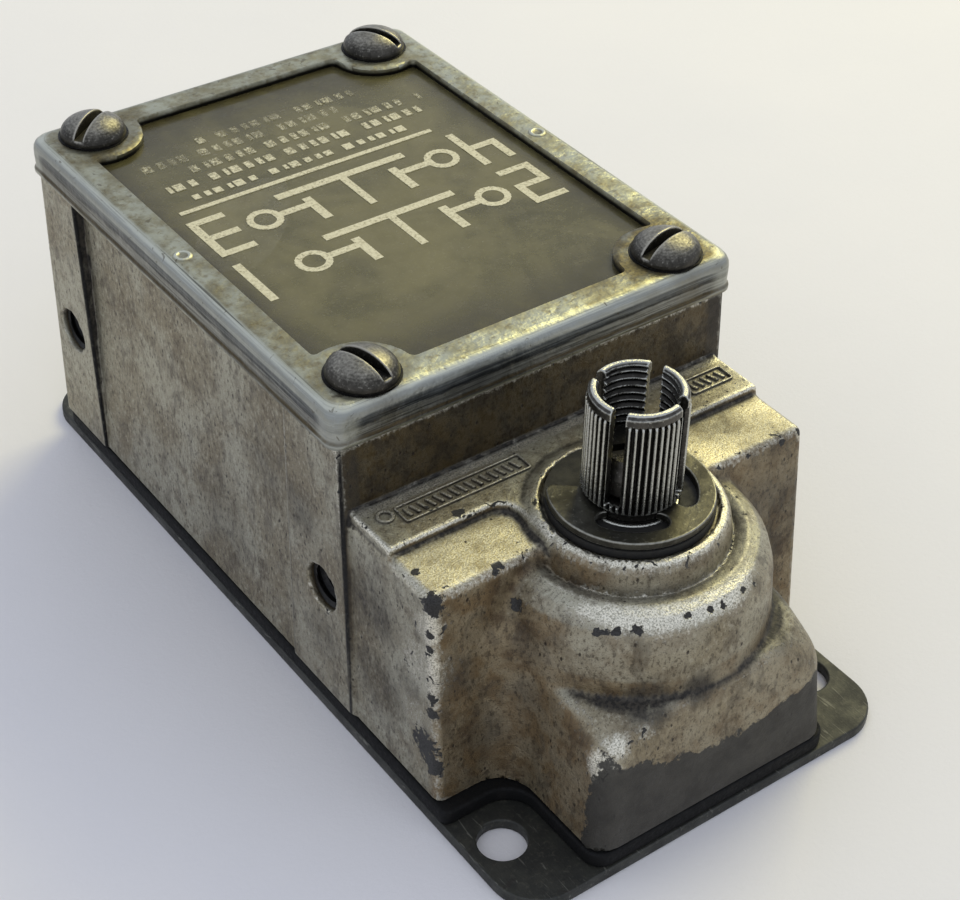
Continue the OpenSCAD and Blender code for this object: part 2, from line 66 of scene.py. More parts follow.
# places taken from the CAD frame, in millimetres
SHAFT_Y = (low("shaft", 1) + high("shaft", 1)) / 2
FOOT = low("housing", 2)
RIM = high("housing", 2)
BOX_BACK = high("housing", 1)
NOSE_FRONT = low("housing", 1)
PAD_X = high("housing", 0)
COVER_X, COVER_TOP = high("cover_frame", 0), high("cover_frame", 2)
COVER_Y = (low("cover_frame", 1) + high("cover_frame", 1)) / 2
COVER_L, COVER_LIP = high("cover_frame", 1) - COVER_Y, low("cover_frame", 2)
HEAD_R = 4.55  # a cover screw's head
SCREW_X, SCREW_L = high("cover_screws", 0) - HEAD_R, high("cover_screws", 1) - HEAD_R - COVER_Y
SHAFT_TOP = high("shaft", 2)
RING_LOW, RING_HIGH = low("retaining_ring", 2), high("retaining_ring", 2)
WINDOW_LOW, WINDOW_HIGH = low("window", 2), high("window", 2)
# the cover screws, from the cover's middle
SCREWS = [(sx * SCREW_X, sy * SCREW_L) for sx in (-1, 1) for sy in (-1, 1)]
PLATE_X, PLATE_L, PLATE_T = (high("base_plate", axis) for axis in range(3))
# the tapped side holes, the cable entry and the plate's ear holes
SIDE_YS, SIDE_Z, ENTRY_Z = (-18.6, 49.4), 21.4, 27.5
EAR_X, EAR_Y, EAR_HOLE_R = 25.2, -51.3, 3.175


# ---- camera
CAM_AZ, CAM_EL, CAM_ROLL = radians(-36.756), radians(38.361), radians(1.46)
CAM_DIST = 299.4
CAM_AIM = Vector((12.80, 6.17, 8.12))


def direction(az, el):
    """Azimuth 0 looks along +Y."""
    return Vector((sin(az) * cos(el), -cos(az) * cos(el), sin(el)))


def make_camera():
    right, back = direction(CAM_AZ + pi / 2, 0), direction(CAM_AZ, CAM_EL)
    up = back.cross(right)
    side = cos(CAM_ROLL) * right + sin(CAM_ROLL) * up
    top = back.cross(side)
    data = bpy.data.cameras.new("camera")
    data.lens, data.sensor_width = 76.24, 36.0
    data.clip_start, data.clip_end = 0.01, 20.0
    cam = bpy.data.objects.new("camera", data)
    bpy.context.scene.collection.objects.link(cam)
    m = Matrix((side, top, back)).transposed().to_4x4()
    m.translation = (CAM_AIM + back * CAM_DIST) * MM
    cam.matrix_world = m
    bpy.context.scene.camera = cam


make_camera()


# ---- fields and their surfaces
def smin_round(a, b, r):
    """Union of two fields with a fillet of radius r where they meet."""
    ra, rb = maximum(r - a, 0), maximum(r - b, 0)
    return maximum(r, minimum(a, b)) - np.sqrt(ra * ra + rb * rb)


def smax_round(a, b, r):
    """Intersection of two fields with its outer edge rounded to radius r."""
    return -smin_round(-a, -b, r)


def cut(a, b, r=0.0):
    """Field a without field b."""
    return smax_round(a, -b, r) if r else maximum(a, -b)


def rect2(px, py, hx, hy, r):
    """Distance to a rectangle with rounded corners, about the origin."""
    qx, qy = abs(px) - hx + r, abs(py) - hy + r
    mx, my = maximum(qx, 0), maximum(qy, 0)
    return np.sqrt(mx * mx + my * my) + minimum(maximum(qx, qy), 0) - r


def slab(p, lo, hi):
    return abs(p - (lo + hi) / 2) - (hi - lo) / 2


def box3(x, y, z, lo, hi, r=0.0):
    q = [slab(p, a, b) + r for p, a, b in zip((x, y, z), lo, hi)]
    m = [maximum(c, 0) for c in q]
    inside = minimum(maximum(maximum(q[0], q[1]), q[2]), 0)
    return np.sqrt(m[0] ** 2 + m[1] ** 2 + m[2] ** 2) + inside - r


def unit(value):
    return np.clip(value, 0, 1)


def ramp(t, a, b):
    """0 before a, 1 after b, smooth between."""
    s = unit((t - a) / (b - a))
    return s * s * (3 - 2 * s)


def bell(t, middle, width):
    return np.exp(-((t - middle) / width) ** 2)


def lerp(t, t0, t1, a, b):
    return a + (b - a) * unit((t - t0) / (t1 - t0))


def poly2(px, py, pts):
    """Signed distance to a closed outline."""
    px, py = np.broadcast_arrays(px, py)
    d = np.full(px.shape, 1e9, F32)
    s = np.ones(px.shape, F32)
    for i in range(len(pts)):
        (ax, ay), (bx, by) = pts[i], pts[i - 1]
        ex, ey = bx - ax, by - ay
        wx, wy = px - ax, py - ay
        t = unit((wx * ex + wy * ey) / (ex * ex + ey * ey))
        d = minimum(d, (wx - ex * t) ** 2 + (wy - ey * t) ** 2)
        c1, c2, c3 = py >= ay, py < by, ex * wy > ey * wx
        s = np.where((c1 & c2 & c3) | (~c1 & ~c2 & ~c3), -s, s)
    return s * np.sqrt(d)


def gradient(f, p, h):
    g = np.empty_like(p)
    for a in range(3):
        q = p.copy()
        q[:, a] += h
        hi = f(q[:, 0], q[:, 1], q[:, 2])
        q[:, a] -= 2 * h
        g[:, a] = (hi - f(q[:, 0], q[:, 1], q[:, 2])) / (2 * h)
    return g


CORNERS = [(i, j, k) for i in (0, 1) for j in (0, 1) for k in (0, 1)]
EDGES = [(a, b) for a in range(8) for b in range(a + 1, 8)
         if sum(abs(p - q) for p, q in zip(CORNERS[a], CORNERS[b])) == 1]


def surface(f, xs, ys, zs, soft=0.12):
    """Vertices, quads and normals of the surface f = 0, on a grid whose steps may vary."""
    axes = [np.asarray(v, F32) for v in (xs, ys, zs)]
    v = f(axes[0][:, None, None], axes[1][None, :, None], axes[2][None, None, :])
    v = np.broadcast_to(v, [len(a) for a in axes]).astype(F32)
    inside = v < 0
    shape = tuple(n - 1 for n in v.shape)
    total = np.zeros(shape, np.int8)
    for i, j, k in CORNERS:
        total += inside[i:i + shape[0], j:j + shape[1], k:k + shape[2]]
    ci = np.argwhere((total > 0) & (total < 8))
    vals = np.stack([v[ci[:, 0] + i, ci[:, 1] + j, ci[:, 2] + k] for i, j, k in CORNERS], 1)
    acc, cnt = np.zeros((len(ci), 3)), np.zeros(len(ci))
    cor = np.array(CORNERS, float)
    for a, b in EDGES:
        va, vb = vals[:, a], vals[:, b]
        m = (va < 0) != (vb < 0)
        t = np.where(m, va / np.where(m, va - vb, 1), 0)
        acc += m[:, None] * (cor[a] + t[:, None] * (cor[b] - cor[a]))
        cnt += m
    w = acc / cnt[:, None]
    base = np.stack([axes[a][ci[:, a]] for a in range(3)], 1).astype(float)
    size = np.stack([axes[a][ci[:, a] + 1] for a in range(3)], 1) - base
    p = base + w * size
    for _ in range(2):
        g = gradient(f, p, 0.03)
        d = f(p[:, 0], p[:, 1], p[:, 2])
        s = -g * (d / maximum((g * g).sum(1), 0.25))[:, None]
        p += np.clip(s, -0.6 * size, 0.6 * size)
    index = np.full(shape, -1, np.int64)
    index[tuple(ci.T)] = np.arange(len(ci))
    quads = []
    for a in range(3):
        lo, hi = [slice(None)] * 3, [slice(None)] * 3
        lo[a], hi[a] = slice(0, -1), slice(1, None)
        e = np.argwhere(inside[tuple(lo)] != inside[tuple(hi)])
        b, c = (a + 1) % 3, (a + 2) % 3
        e = e[(e[:, b] > 0) & (e[:, c] > 0) & (e[:, b] < shape[b]) & (e[:, c] < shape[c])]
        ring = []
        for ob, oc in ((-1, -1), (0, -1), (0, 0), (-1, 0)):
            q = e.copy()
            q[:, b] += ob
            q[:, c] += oc
            ring.append(index[tuple(q.T)])
        ring = np.stack(ring, 1)
        flip = ~inside[tuple(e.T)]
        ring[flip] = ring[flip][:, ::-1]
        quads.append(ring)
    quads = np.concatenate(quads)
    n = gradient(f, p, soft)
    n /= maximum(np.linalg.norm(n, axis=1), 1e-9)[:, None]
    return p, quads[(quads >= 0).all(1)], n


def spaced(*stops):
    """Grid lines from (start, step), (next, step), ..., (end, None)."""
    out = []
    for (a, step), (b, _) in zip(stops, stops[1:]):
        out.append(np.linspace(a, b, max(1, round((b - a) / step)), endpoint=False))
    return np.concatenate(out + [[stops[-1][0]]])


def bend_of(f, p, n, reach):
    """How far the surface bends away at each point: above 0 on outer edges, below 0 in corners."""
    t = np.cross(n, np.where(abs(n[:, 2:3]) < 0.8, [[0, 0, 1.0]], [[1.0, 0, 0]]))
    t /= np.linalg.norm(t, axis=1)[:, None]
    b = np.cross(n, t)
    acc = np.zeros(len(p))
    for i in range(8):
        a = pi * i / 4
        q = p + reach * (cos(a) * t + sin(a) * b)
        acc += f(q[:, 0], q[:, 1], q[:, 2])
    return acc / (8 * reach)


# ---- meshes
def put_in(obj):
    bpy.context.scene.collection.objects.link(obj)
    return obj


def link(name, mesh, material, slot, *nodes, body="switch_body"):
    """Shows a mesh as a piece that rides on body and stands for those CAD nodes."""
    obj = put_in(bpy.data.objects.new(name, mesh))
    mesh.materials.clear()
    mesh.materials.append(material)
    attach(obj, body)
    if nodes:
        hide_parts(*nodes)


def mesh_from(name, p, quads, normals=None, **layers):
    mesh = bpy.data.meshes.new(name)
    mesh.vertices.add(len(p))
    mesh.vertices.foreach_set("co", (np.asarray(p, float) * MM).astype(F32).ravel())
    mesh.loops.add(quads.size)
    mesh.loops.foreach_set("vertex_index", quads.ravel().astype(np.int32))
    mesh.polygons.add(len(quads))
    mesh.polygons.foreach_set("loop_start", np.arange(0, quads.size, 4, dtype=np.int32))
    mesh.update(calc_edges=True)
    mesh.validate()
    for key, value in layers.items():
        attr = mesh.attributes.new(key, "FLOAT", "POINT")
        attr.data.foreach_set("value", np.asarray(value, F32))
    mesh.shade_smooth()
    if normals is not None:
        mesh.normals_split_custom_set_from_vertices(normals.astype(F32))
    return mesh


def lattice(rows, around, strips):
    """Quads between closed rows of points: that many strips, the last of which may meet row 0."""
    k, i = np.meshgrid(np.arange(strips), np.arange(around), indexing="ij")
    k, far = k * around, (k + 1) % rows * around
    j = (i + 1) % around
    return np.stack([k + i, far + i, far + j, k + j], -1).reshape(-1, 4)


def flat_part(name, loops, z0, z1, bevel):
    """A flat piece from an outline and its holes, with rounded edges."""
    curve = bpy.data.curves.new(name, "CURVE")
    curve.dimensions, curve.fill_mode = "2D", "BOTH"
    curve.extrude = ((z1 - z0) / 2 - bevel) * MM
    curve.bevel_depth, curve.bevel_resolution, curve.offset = bevel * MM, 2, -bevel * MM
    for loop in loops:
        s = curve.splines.new("POLY")
        s.points.add(len(loop) - 1)
        s.points.foreach_set("co", np.array([(x * MM, y * MM, 0, 1) for x, y in loop]).ravel())
        s.use_cyclic_u = True
    tmp = put_in(bpy.data.objects.new(name + "_curve", curve))
    bpy.context.view_layer.update()
    shown = tmp.evaluated_get(bpy.context.evaluated_depsgraph_get())
    mesh = bpy.data.meshes.new_from_object(shown)
    bpy.data.objects.remove(tmp)
    mesh.transform(Matrix.Translation((0, 0, (z0 + z1) / 2 * MM)))
    mesh.shade_smooth()
    mesh.set_sharp_from_angle(angle=radians(35))
    mesh.name = name
    return mesh


def arc(cx, cy, r, a0, a1, n):
    return [(cx + r * cos(radians(a0 + (a1 - a0) * i / n)),
             cy + r * sin(radians(a0 + (a1 - a0) * i / n))) for i in range(n + 1)]


def rounded(cx, cy, hx, hy, r, n=10):
    out = []
    for sx, sy, a in ((1, 1, 0), (-1, 1, 90), (-1, -1, 180), (1, -1, 270)):
        out += arc(cx + sx * (hx - r), cy + sy * (hy - r), r, a, a + 90, n)
    return out


def ring_of(cx, cy, r, n=48):
    return [(cx + r * cos(2 * pi * i / n), cy + r * sin(2 * pi * i / n))
            for i in range(n)]


# ---- materials
def srgb(r, g, b):
    return tuple(((c / 255 + 0.055) / 1.055) ** 2.4 if c > 10.3 else c / 255 / 12.92
                 for c in (r, g, b)) + (1.0,)


def shade(color, share):
    return tuple(share * c for c in srgb(*color)[:3]) + (1.0,)


class Look:
    """A node material. Places are the row frame's, in millimetres; colours run from 0 to 255."""

    def __init__(self, name, rough, metallic, **sockets):
        self.mat = bpy.data.materials.new(name)
        self.mat.use_nodes = True
        self.nt = self.mat.node_tree
        self.bsdf = self.nt.nodes["Principled BSDF"]
        for key, value in {"Roughness": rough, "Metallic": metallic, **sockets}.items():
            self.bsdf.inputs[key.replace("_", " ")].default_value = value
        place = self.node("ShaderNodeTexCoord").outputs["Object"]
        self.pos = self.node("ShaderNodeVectorMath", {0: place, "Scale": 1 / MM},
                             operation="SCALE").outputs[0]
        self.color = None

    def put(self, socket, value):
        if isinstance(value, bpy.types.NodeSocket):
            self.nt.links.new(value, socket)
        else:
            socket.default_value = value

    def node(self, kind, inputs=None, **props):
        n = self.nt.nodes.new(kind)
        for key, value in props.items():
            setattr(n, key, value)
        for key, value in (inputs or {}).items():
            self.put(n.inputs[key], value)
        return n

    def stretch(self, x, y, z):
        return self.node("ShaderNodeVectorMath", {0: self.pos, 1: (x, y, z)},
                         operation="MULTIPLY").outputs[0]

    def noise(self, scale, detail=4.0, rough=0.55, at=None, warp=0.0):
        return self.node("ShaderNodeTexNoise", {
            "Vector": self.pos if at is None else at, "Scale": scale, "Detail": detail,
            "Roughness": rough, "Distortion": warp}).outputs["Fac"]

    def cells(self, scale, at):
        inputs = {"Vector": at, "Scale": scale}
        return self.node("ShaderNodeTexVoronoi", inputs).outputs["Distance"]

    def attr(self, name):
        return self.node("ShaderNodeAttribute", attribute_name=name).outputs["Fac"]

    def axis(self, index):
        return self.node("ShaderNodeSeparateXYZ", {0: self.pos}).outputs[index]

    def math(self, op, a, b=0.0, clamp=False):
        return self.node("ShaderNodeMath", {0: a, 1: b}, operation=op, use_clamp=clamp).outputs[0]

    add = partialmethod(math, "ADD")
    less = partialmethod(math, "SUBTRACT")
    mul = partialmethod(math, "MULTIPLY")
    top = partialmethod(math, "MAXIMUM")

    def swing(self, value, size):
        """A noise, which keeps near 0.5, moved to keep near 0 and scaled."""
        return self.mul(self.less(value, 0.5), size)

    def band(self, value, a, b, lo=0.0, hi=1.0):
        return self.node("ShaderNodeMapRange", {
            "Value": value, "From Min": a, "From Max": b, "To Min": lo, "To Max": hi},
            interpolation_type="SMOOTHSTEP").outputs["Result"]

    def mix(self, fac, a, b):
        a, b = (srgb(*c) if isinstance(c, tuple) and len(c) == 3 else c for c in (a, b))
        return self.node("ShaderNodeMix", {"Factor": fac, 6: a, 7: b}, data_type="RGBA").outputs[2]

    def two(self, value, a, b, first, second, most=1.0):
        """The first colour, and the second one where value has passed from a to b."""
        return self.mix(self.band(value, a, b, 0, most), first, second)

    def lay(self, color, fac):
        """Lays a colour over the look so far."""
        self.color = self.mix(fac, self.color, color)

    def coat(self, color, value, a, b, most=1.0):
        """Lays a colour over the look so far where value has passed from a to b."""
        self.lay(color, self.band(value, a, b, 0, most))

    def bump(self, height, depth, strength=1.0, after=None):
        n = self.node("ShaderNodeBump", {
            "Strength": strength, "Distance": depth * MM, "Height": height})
        if after is not None:
            self.put(n.inputs["Normal"], after)
        return n.outputs["Normal"]

    def done(self, normal, **more):
        for key, value in {"Base Color": self.color, "Normal": normal, **more}.items():
            self.put(self.bsdf.inputs[key], value)
        return self.mat


def casting_look():
    m = Look("aged_casting", 0.4, 0.7)
    wide = m.noise(0.07, 4, 0.55, warp=0.6)
    patch = m.noise(0.30, 5, 0.62)
    grain = m.noise(1.9, 4, 0.6, at=m.stretch(1, 1, 0.65))
    fine = m.noise(5.0, 3, 0.6)
    m.color = m.two(wide, 0.36, 0.64, (164, 160, 142), (134, 125, 103))
    m.coat((108, 96, 78), patch, 0.48, 0.68, 0.5)
    m.coat((190, 186, 168), grain, 0.46, 0.34, 0.45)
    # brown grime and painted shade on the faces that look forward
    brown = m.two(wide, 0.4, 0.6, (124, 104, 74), (86, 70, 50))
    brown = m.two(patch, 0.42, 0.62, (134, 118, 90), brown)
    m.lay(brown, m.mul(m.attr("front"), m.band(patch, 0.3, 0.65, 0.75, 1.0)))
    smudge = m.noise(0.5, 4, 0.6, at=m.stretch(1, 1, 0.5), warp=0.4)
    m.coat((82, 74, 62), smudge, 0.5, 0.68, 0.55)
    m.coat((62, 52, 40), grain, 0.53, 0.66, 0.65)
    m.coat((48, 40, 32), fine, 0.56, 0.68, 0.65)
    # yellow lacquer left on the lower shelves
    gold = m.two(fine, 0.36, 0.66, (236, 229, 200), (186, 172, 130))
    gold = m.two(patch, 0.5, 0.66, gold, (156, 140, 96), 0.5)
    m.lay(gold, m.mul(m.attr("up"), m.band(patch, 0.3, 0.7, 0.95, 0.7)))
    # painted shade with brown dirt: in the corners and on the wall under the cover
    stain = m.two(patch, 0.42, 0.62, (78, 64, 38), (50, 40, 25))
    stain = m.two(fine, 0.60, 0.70, stain, (20, 15, 12), 0.7)
    m.lay(stain, m.mul(m.attr("dirt"), m.band(grain, 0.3, 0.7, 1.05, 0.8), clamp=True))
    # small pits, in drifts
    pits = m.band(m.cells(0.75, m.stretch(1, 1, 0.6)), 0.16, 0.09)
    pits = m.mul(pits, m.band(m.noise(0.17, 3), 0.42, 0.52))
    m.lay((40, 32, 26), m.mul(pits, 0.85))
    # silver: a painted highlight on the shoulder and round the collar, worn metal and painted
    # highlight along the edges
    silver = m.two(fine, 0.4, 0.66, (236, 231, 214), (156, 152, 136))
    rubbed = m.add(m.swing(grain, 1.5), m.swing(patch, 1.2))
    sheen = m.band(m.add(m.attr("sheen"), rubbed), 0.2, 0.95)
    sheen = m.mul(sheen, m.band(m.attr("sheen"), 0.02, 0.2, 0, 0.95))
    worn = m.band(m.add(m.attr("wear"), m.swing(grain, 0.7)), 0.12, 0.45)
    bare = m.top(sheen, m.mul(worn, 0.9))
    m.lay(silver, bare)
    # soot-grey stains and painted shade
    soot = m.mul(m.attr("soot"), m.band(smudge, 0.3, 0.55, 0.7, 1.15), clamp=True)
    m.lay(m.two(grain, 0.4, 0.6, (62, 57, 49), (34, 31, 27)), soot)
    # dark chips along the edges, and the bigger ones
    small = m.band(m.noise(0.75, 3, 0.5, warp=0.8), 0.64, 0.66)
    big = m.band(m.add(m.attr("chip"), m.swing(m.noise(1.3, 3, 0.6), 1.1)), 0.5, 0.58)
    chips = m.top(m.mul(small, m.band(m.attr("wear"), 0.08, 0.2)), big)
    m.lay(m.two(fine, 0.4, 0.65, (58, 57, 55), (40, 38, 36)), chips)
    # the dark band round the nose's foot, with a ragged edge
    band = m.band(m.add(m.attr("band"), m.swing(m.noise(0.4, 4, 0.65), 5.5)), 9.8, 10.2)
    m.lay(m.mix(patch, (62, 60, 56), (40, 38, 34)), m.mul(band, 0.95))
    # painted shade with grime: the black line down the corner of each pad
    seam = m.band(m.attr("seam"), 9.5, 9.8)
    m.lay((14, 12, 10), m.mul(seam, m.band(grain, 0.25, 0.5, 0.7, 1)))
    lost = m.top(band, chips)
    dull = m.top(lost, soot)
    rough = m.less(m.band(patch, 0.3, 0.75, 0.36, 0.5), m.mul(bare, 0.08))
    rough = m.add(rough, m.mul(dull, 0.15), clamp=True)
    metal = m.less(m.band(bare, 0, 1, 0.65, 0.88), m.mul(dull, 0.3))
    n = m.bump(fine, 0.07)
    n = m.bump(m.less(m.noise(0.8, 4, 0.6), m.mul(pits, 0.5)), 0.12, after=n)
    return m.done(m.bump(m.less(1.0, lost), 0.1, after=n), Roughness=rough, Metallic=metal)


def cover_look():
    m = Look("plated_cover", 0.35, 0.85)
    mid_n = m.noise(0.3, 5, 0.6)
    fine = m.noise(2.5, 4, 0.6)
    across = m.attr("across")
    # rubbed streaks that run along the rim
    line = m.node("ShaderNodeCombineXYZ", {0: m.mul(m.attr("along"), 0.06), 1: m.mul(across, 3.0)})
    streak = m.noise(1.0, 5, 0.65, at=line.outputs[0])
    m.color = m.two(mid_n, 0.35, 0.65, (176, 177, 158), (140, 137, 116))
    m.coat((112, 100, 70), m.noise(0.9, 4, 0.6), 0.5, 0.7, 0.6)
    # the rim, with its curves' reflections and shade painted in: a grey lip, a dark line, a grey
    # band, a second line, a blue-grey band, a pale bend as a painted highlight
    t = m.add(across, m.swing(mid_n, 0.9))
    rim = m.two(t, 0.7, 0.9, (78, 77, 71), (32, 31, 28))
    for a, b, color in ((1.1, 1.5, (124, 124, 118)), (2.5, 2.8, (52, 55, 58)),
                        (2.9, 3.4, (92, 96, 98)), (4.1, 4.7, (62, 67, 72)),
                        (5.2, 5.9, (180, 181, 166))):
        rim = m.two(t, a, b, rim, color)
    rim = m.two(streak, 0.5, 0.7, rim, (164, 168, 162), 0.5)
    rim = m.two(streak, 0.5, 0.38, rim, (44, 46, 46), 0.75)
    m.lay(rim, m.attr("side"))
    # wear and painted highlight on the lip, the upper bend and the corners
    m.coat((206, 208, 198), m.attr("wear"), 0.05, 0.25, 0.45)
    # painted shade with dirt near the opening, round the screws and along the lip
    m.lay((84, 72, 48), m.mul(m.attr("dirt"), m.band(fine, 0.2, 0.7, 1, 0.6)))
    m.coat((78, 70, 58), m.noise(0.8, 3, 0.5, warp=0.8), 0.66, 0.7, 0.6)
    m.lay(m.two(fine, 0.4, 0.65, (104, 93, 62), (70, 62, 42)),
          m.mul(m.attr("stain"), m.band(mid_n, 0.35, 0.6, 0.5, 0.95)))
    # painted shade: the cut edge round the opening, near black
    m.coat((24, 22, 17), across, 11.2, 12.0)
    n = m.bump(fine, 0.03, after=m.bump(streak, 0.03, strength=0.6))
    return m.done(m.bump(m.noise(0.35, 3), 0.25, after=n),
                  Roughness=m.band(mid_n, 0.3, 0.7, 0.28, 0.46))


def steel_look(name, dark, middle, light, rough, scale):
    """Steel with mottling, lighter where the piece carries wear and painted highlight, darker where
    it carries painted shade and dirt.
    """
    m = Look(name, rough, 0.9)
    mid_n = m.noise(scale, 5, 0.6)
    fine = m.noise(scale * 6, 4, 0.6)
    m.color = m.two(mid_n, 0.35, 0.68, middle, dark)
    m.coat(light, fine, 0.58, 0.75, 0.45)
    worn = m.band(m.add(m.attr("wear"), m.swing(fine, 0.25)), 0.06, 0.3)
    m.lay(light, worn)
    # painted shade with dirt
    m.lay(shade(dark, 0.35), m.attr("dirt"))
    return m.done(m.bump(mid_n, 0.08, after=m.bump(fine, 0.04)), Roughness=m.less(
        m.band(mid_n, 0.3, 0.7, rough - 0.06, rough + 0.1), m.mul(worn, 0.08)))


def plate_look():
    m = Look("dark_plate", 0.6, 0.15)
    mid_n = m.noise(0.22, 6, 0.62)
    fine = m.noise(1.6, 5, 0.65)
    scratch = m.noise(1.0, 3, 0.5, at=m.stretch(1.7, 0.14, 1.0), warp=1.6)
    m.color = m.two(mid_n, 0.35, 0.65, (50, 50, 44), (32, 32, 28))
    m.coat((82, 79, 68), fine, 0.52, 0.72, 0.5)
    m.coat((120, 118, 108), scratch, 0.64, 0.7, 0.5)
    m.coat((38, 34, 29), m.noise(0.5, 4, 0.6, warp=1.0), 0.6, 0.68, 0.7)
    return m.done(m.bump(scratch, 0.03, after=m.bump(fine, 0.05)),
                  Roughness=m.band(mid_n, 0.3, 0.7, 0.42, 0.62))


def rubber_look():
    m = Look("black_rubber", 0.75, 0.0, Specular_IOR_Level=0.25)
    fine = m.noise(1.8, 5, 0.65)
    m.color = m.two(fine, 0.45, 0.75, (6, 6, 6), (15, 14, 13))
    m.coat((26, 23, 20), m.noise(0.3, 4, 0.6), 0.55, 0.75, 0.5)
    return m.done(m.bump(fine, 0.08), Roughness=m.band(fine, 0.3, 0.7, 0.6, 0.85))


def window_look():
    m = Look("aged_window", 0.14, 0.0, IOR=1.47)
    mid_n = m.noise(0.35, 5, 0.62)
    wide = m.noise(0.05, 4, 0.55, warp=0.8)
    m.color = m.two(wide, 0.35, 0.65, (118, 110, 70), (88, 82, 49))
    m.coat((92, 84, 52), mid_n, 0.5, 0.7, 0.4)
    m.coat((142, 136, 96), m.noise(3.0, 4, 0.65), 0.55, 0.7, 0.35)
    # painted shade and grime: darker towards the frame's edges
    rim = m.top(m.band(m.math("ABSOLUTE", m.axis(0)), 20.5, 26.5),
                m.band(m.math("ABSOLUTE", m.less(m.axis(1), COVER_Y)), 21.0, 34.5))
    m.lay((58, 52, 32), m.mul(rim, m.band(mid_n, 0.3, 0.6, 0.45, 0.85)))
    m.mat.surface_render_method = "DITHERED"
    return m.done(m.bump(m.noise(0.12, 3), 0.1), Roughness=m.band(mid_n, 0.3, 0.75, 0.12, 0.3),
                  Alpha=m.band(mid_n, 0.3, 0.75, 0.8, 0.95))


def print_look():
    m = Look("cream_print", 0.55, 0.0)
    fine = m.noise(2.2, 5, 0.7)
    m.color = m.two(fine, 0.4, 0.7, (214, 206, 174), (176, 166, 132))
    # worn thin in places, and more so towards the back
    thin = m.add(fine, m.mul(m.noise(0.12, 4), 0.5))
    thin = m.add(thin, m.band(m.axis(1), 24.0, 40.0, 0.0, 0.3))
    return m.done(m.bump(fine, 0.02), Alpha=m.band(thin, 1.1, 0.78, 0.08, 0.97))


def hole_look():
    """Oily dirt and painted shade down in the tapped holes, near black."""
    m = Look("oily_thread", 0.5, 0.3)
    fine = m.noise(2.4, 4, 0.6)
    m.color = m.two(fine, 0.4, 0.65, (24, 22, 19), (12, 11, 10))
    return m.done(m.bump(fine, 0.05), Roughness=m.band(fine, 0.3, 0.7, 0.4, 0.6))


def plain_look(name, light, dark, rough, metallic, scale):
    """A two-tone surface with fine grain, for the pieces inside."""
    m = Look(name, rough, metallic)
    mid_n = m.noise(scale, 5, 0.6)
    m.color = m.two(mid_n, 0.35, 0.7, light, dark)
    fine = m.noise(scale * 7, 4, 0.6)
    m.coat(shade(dark, 0.4), fine, 0.6, 0.75, 0.35)
    return m.done(m.bump(fine, 0.04),
                  Roughness=m.band(mid_n, 0.3, 0.7, rough - 0.05, rough + 0.12))


def paper_look():
    m = Look("pale_paper", 0.8, 0.0)
    m.color = m.mix(m.noise(0.02, 4, 0.6), (232, 228, 226), (224, 221, 222))
    return m.done(m.bump(m.noise(1.2, 5, 0.7), 0.05))


CASTING, COVER, PLATE, RUBBER = casting_look(), cover_look(), plate_look(), rubber_look()
WINDOW, PRINT, HOLE = window_look(), print_look(), hole_look()
SHAFT_STEEL = steel_look("dark_shaft", (54, 52, 48), (80, 77, 72), (188, 187, 178), 0.3, 0.5)
RING_STEEL = steel_look("ring_steel", (54, 52, 46), (78, 76, 68), (150, 148, 138), 0.36, 0.3)
SCREW_STEEL = steel_look("black_oxide", (50, 48, 44), (70, 67, 61), (156, 152, 141), 0.38, 0.4)


# ---- finishes of the CAD nodes that are shown as they are
def dress(nodes, material):
    for node in nodes.split():
        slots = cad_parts[node].data.materials
        slots.clear()
        slots.append(material)


dress("crank lock_plug", SHAFT_STEEL)
dress("shaft_seal cover_gasket", RUBBER)
for nodes, *finish in (
        ("base_screws guide_screws block_screws",
         "dull_zinc", (150, 148, 140), (112, 108, 98), 0.42, 0.85, 0.8),
        ("crank_pin drive_pin slide_bar",
         "ground_steel", (168, 168, 166), (130, 128, 122), 0.3, 0.9, 0.8),
        ("thrust_washer", "dark_fibre", (34, 32, 28), (20, 19, 17), 0.6, 0.0, 0.8),
        ("front_spring rear_spring contact_spring",
         "spring_wire", (186, 186, 184), (150, 148, 144), 0.25, 0.95, 0.8),
        ("bushing", "bearing_bronze", (150, 116, 66), (116, 84, 46), 0.42, 0.85, 0.8),
        ("guide_plate carrier_rivets terminal_1 terminal_2 terminal_3 terminal_4 terminal_screws",
         "aged_brass", (206, 174, 104), (158, 124, 66), 0.3, 0.9, 0.8),
        ("bridge_front bridge_rear",
         "bridge_bronze", (196, 142, 88), (150, 98, 58), 0.3, 0.9, 0.8),
        (" ".join(f"{kind}_tip_{i}" for kind in ("moving", "fixed") for i in (1, 2, 3, 4)),
         "contact_silver", (216, 216, 210), (176, 174, 166), 0.22, 0.95, 0.8),
        ("contact_carrier contact_block",
         "brown_phenolic", (72, 40, 28), (50, 27, 20), 0.32, 0.0, 0.4),
        ("terminal_clamps", "nickel_clamp", (190, 188, 180), (150, 146, 136), 0.3, 0.9, 0.8)):
    dress(nodes, plain_look(*finish))


# ---- return springs
def build_spring(node):
    """A return spring: a copy of the CAD node's mesh, put in place, with the node hidden."""
    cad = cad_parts[node]
    coil = put_in(bpy.data.objects.new(f"{node}_coil", cad.data.copy()))
    coil.matrix_world = cad.matrix_world.copy()
    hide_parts(node)
    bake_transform(coil)


build_spring("front_spring")
build_spring("rear_spring")


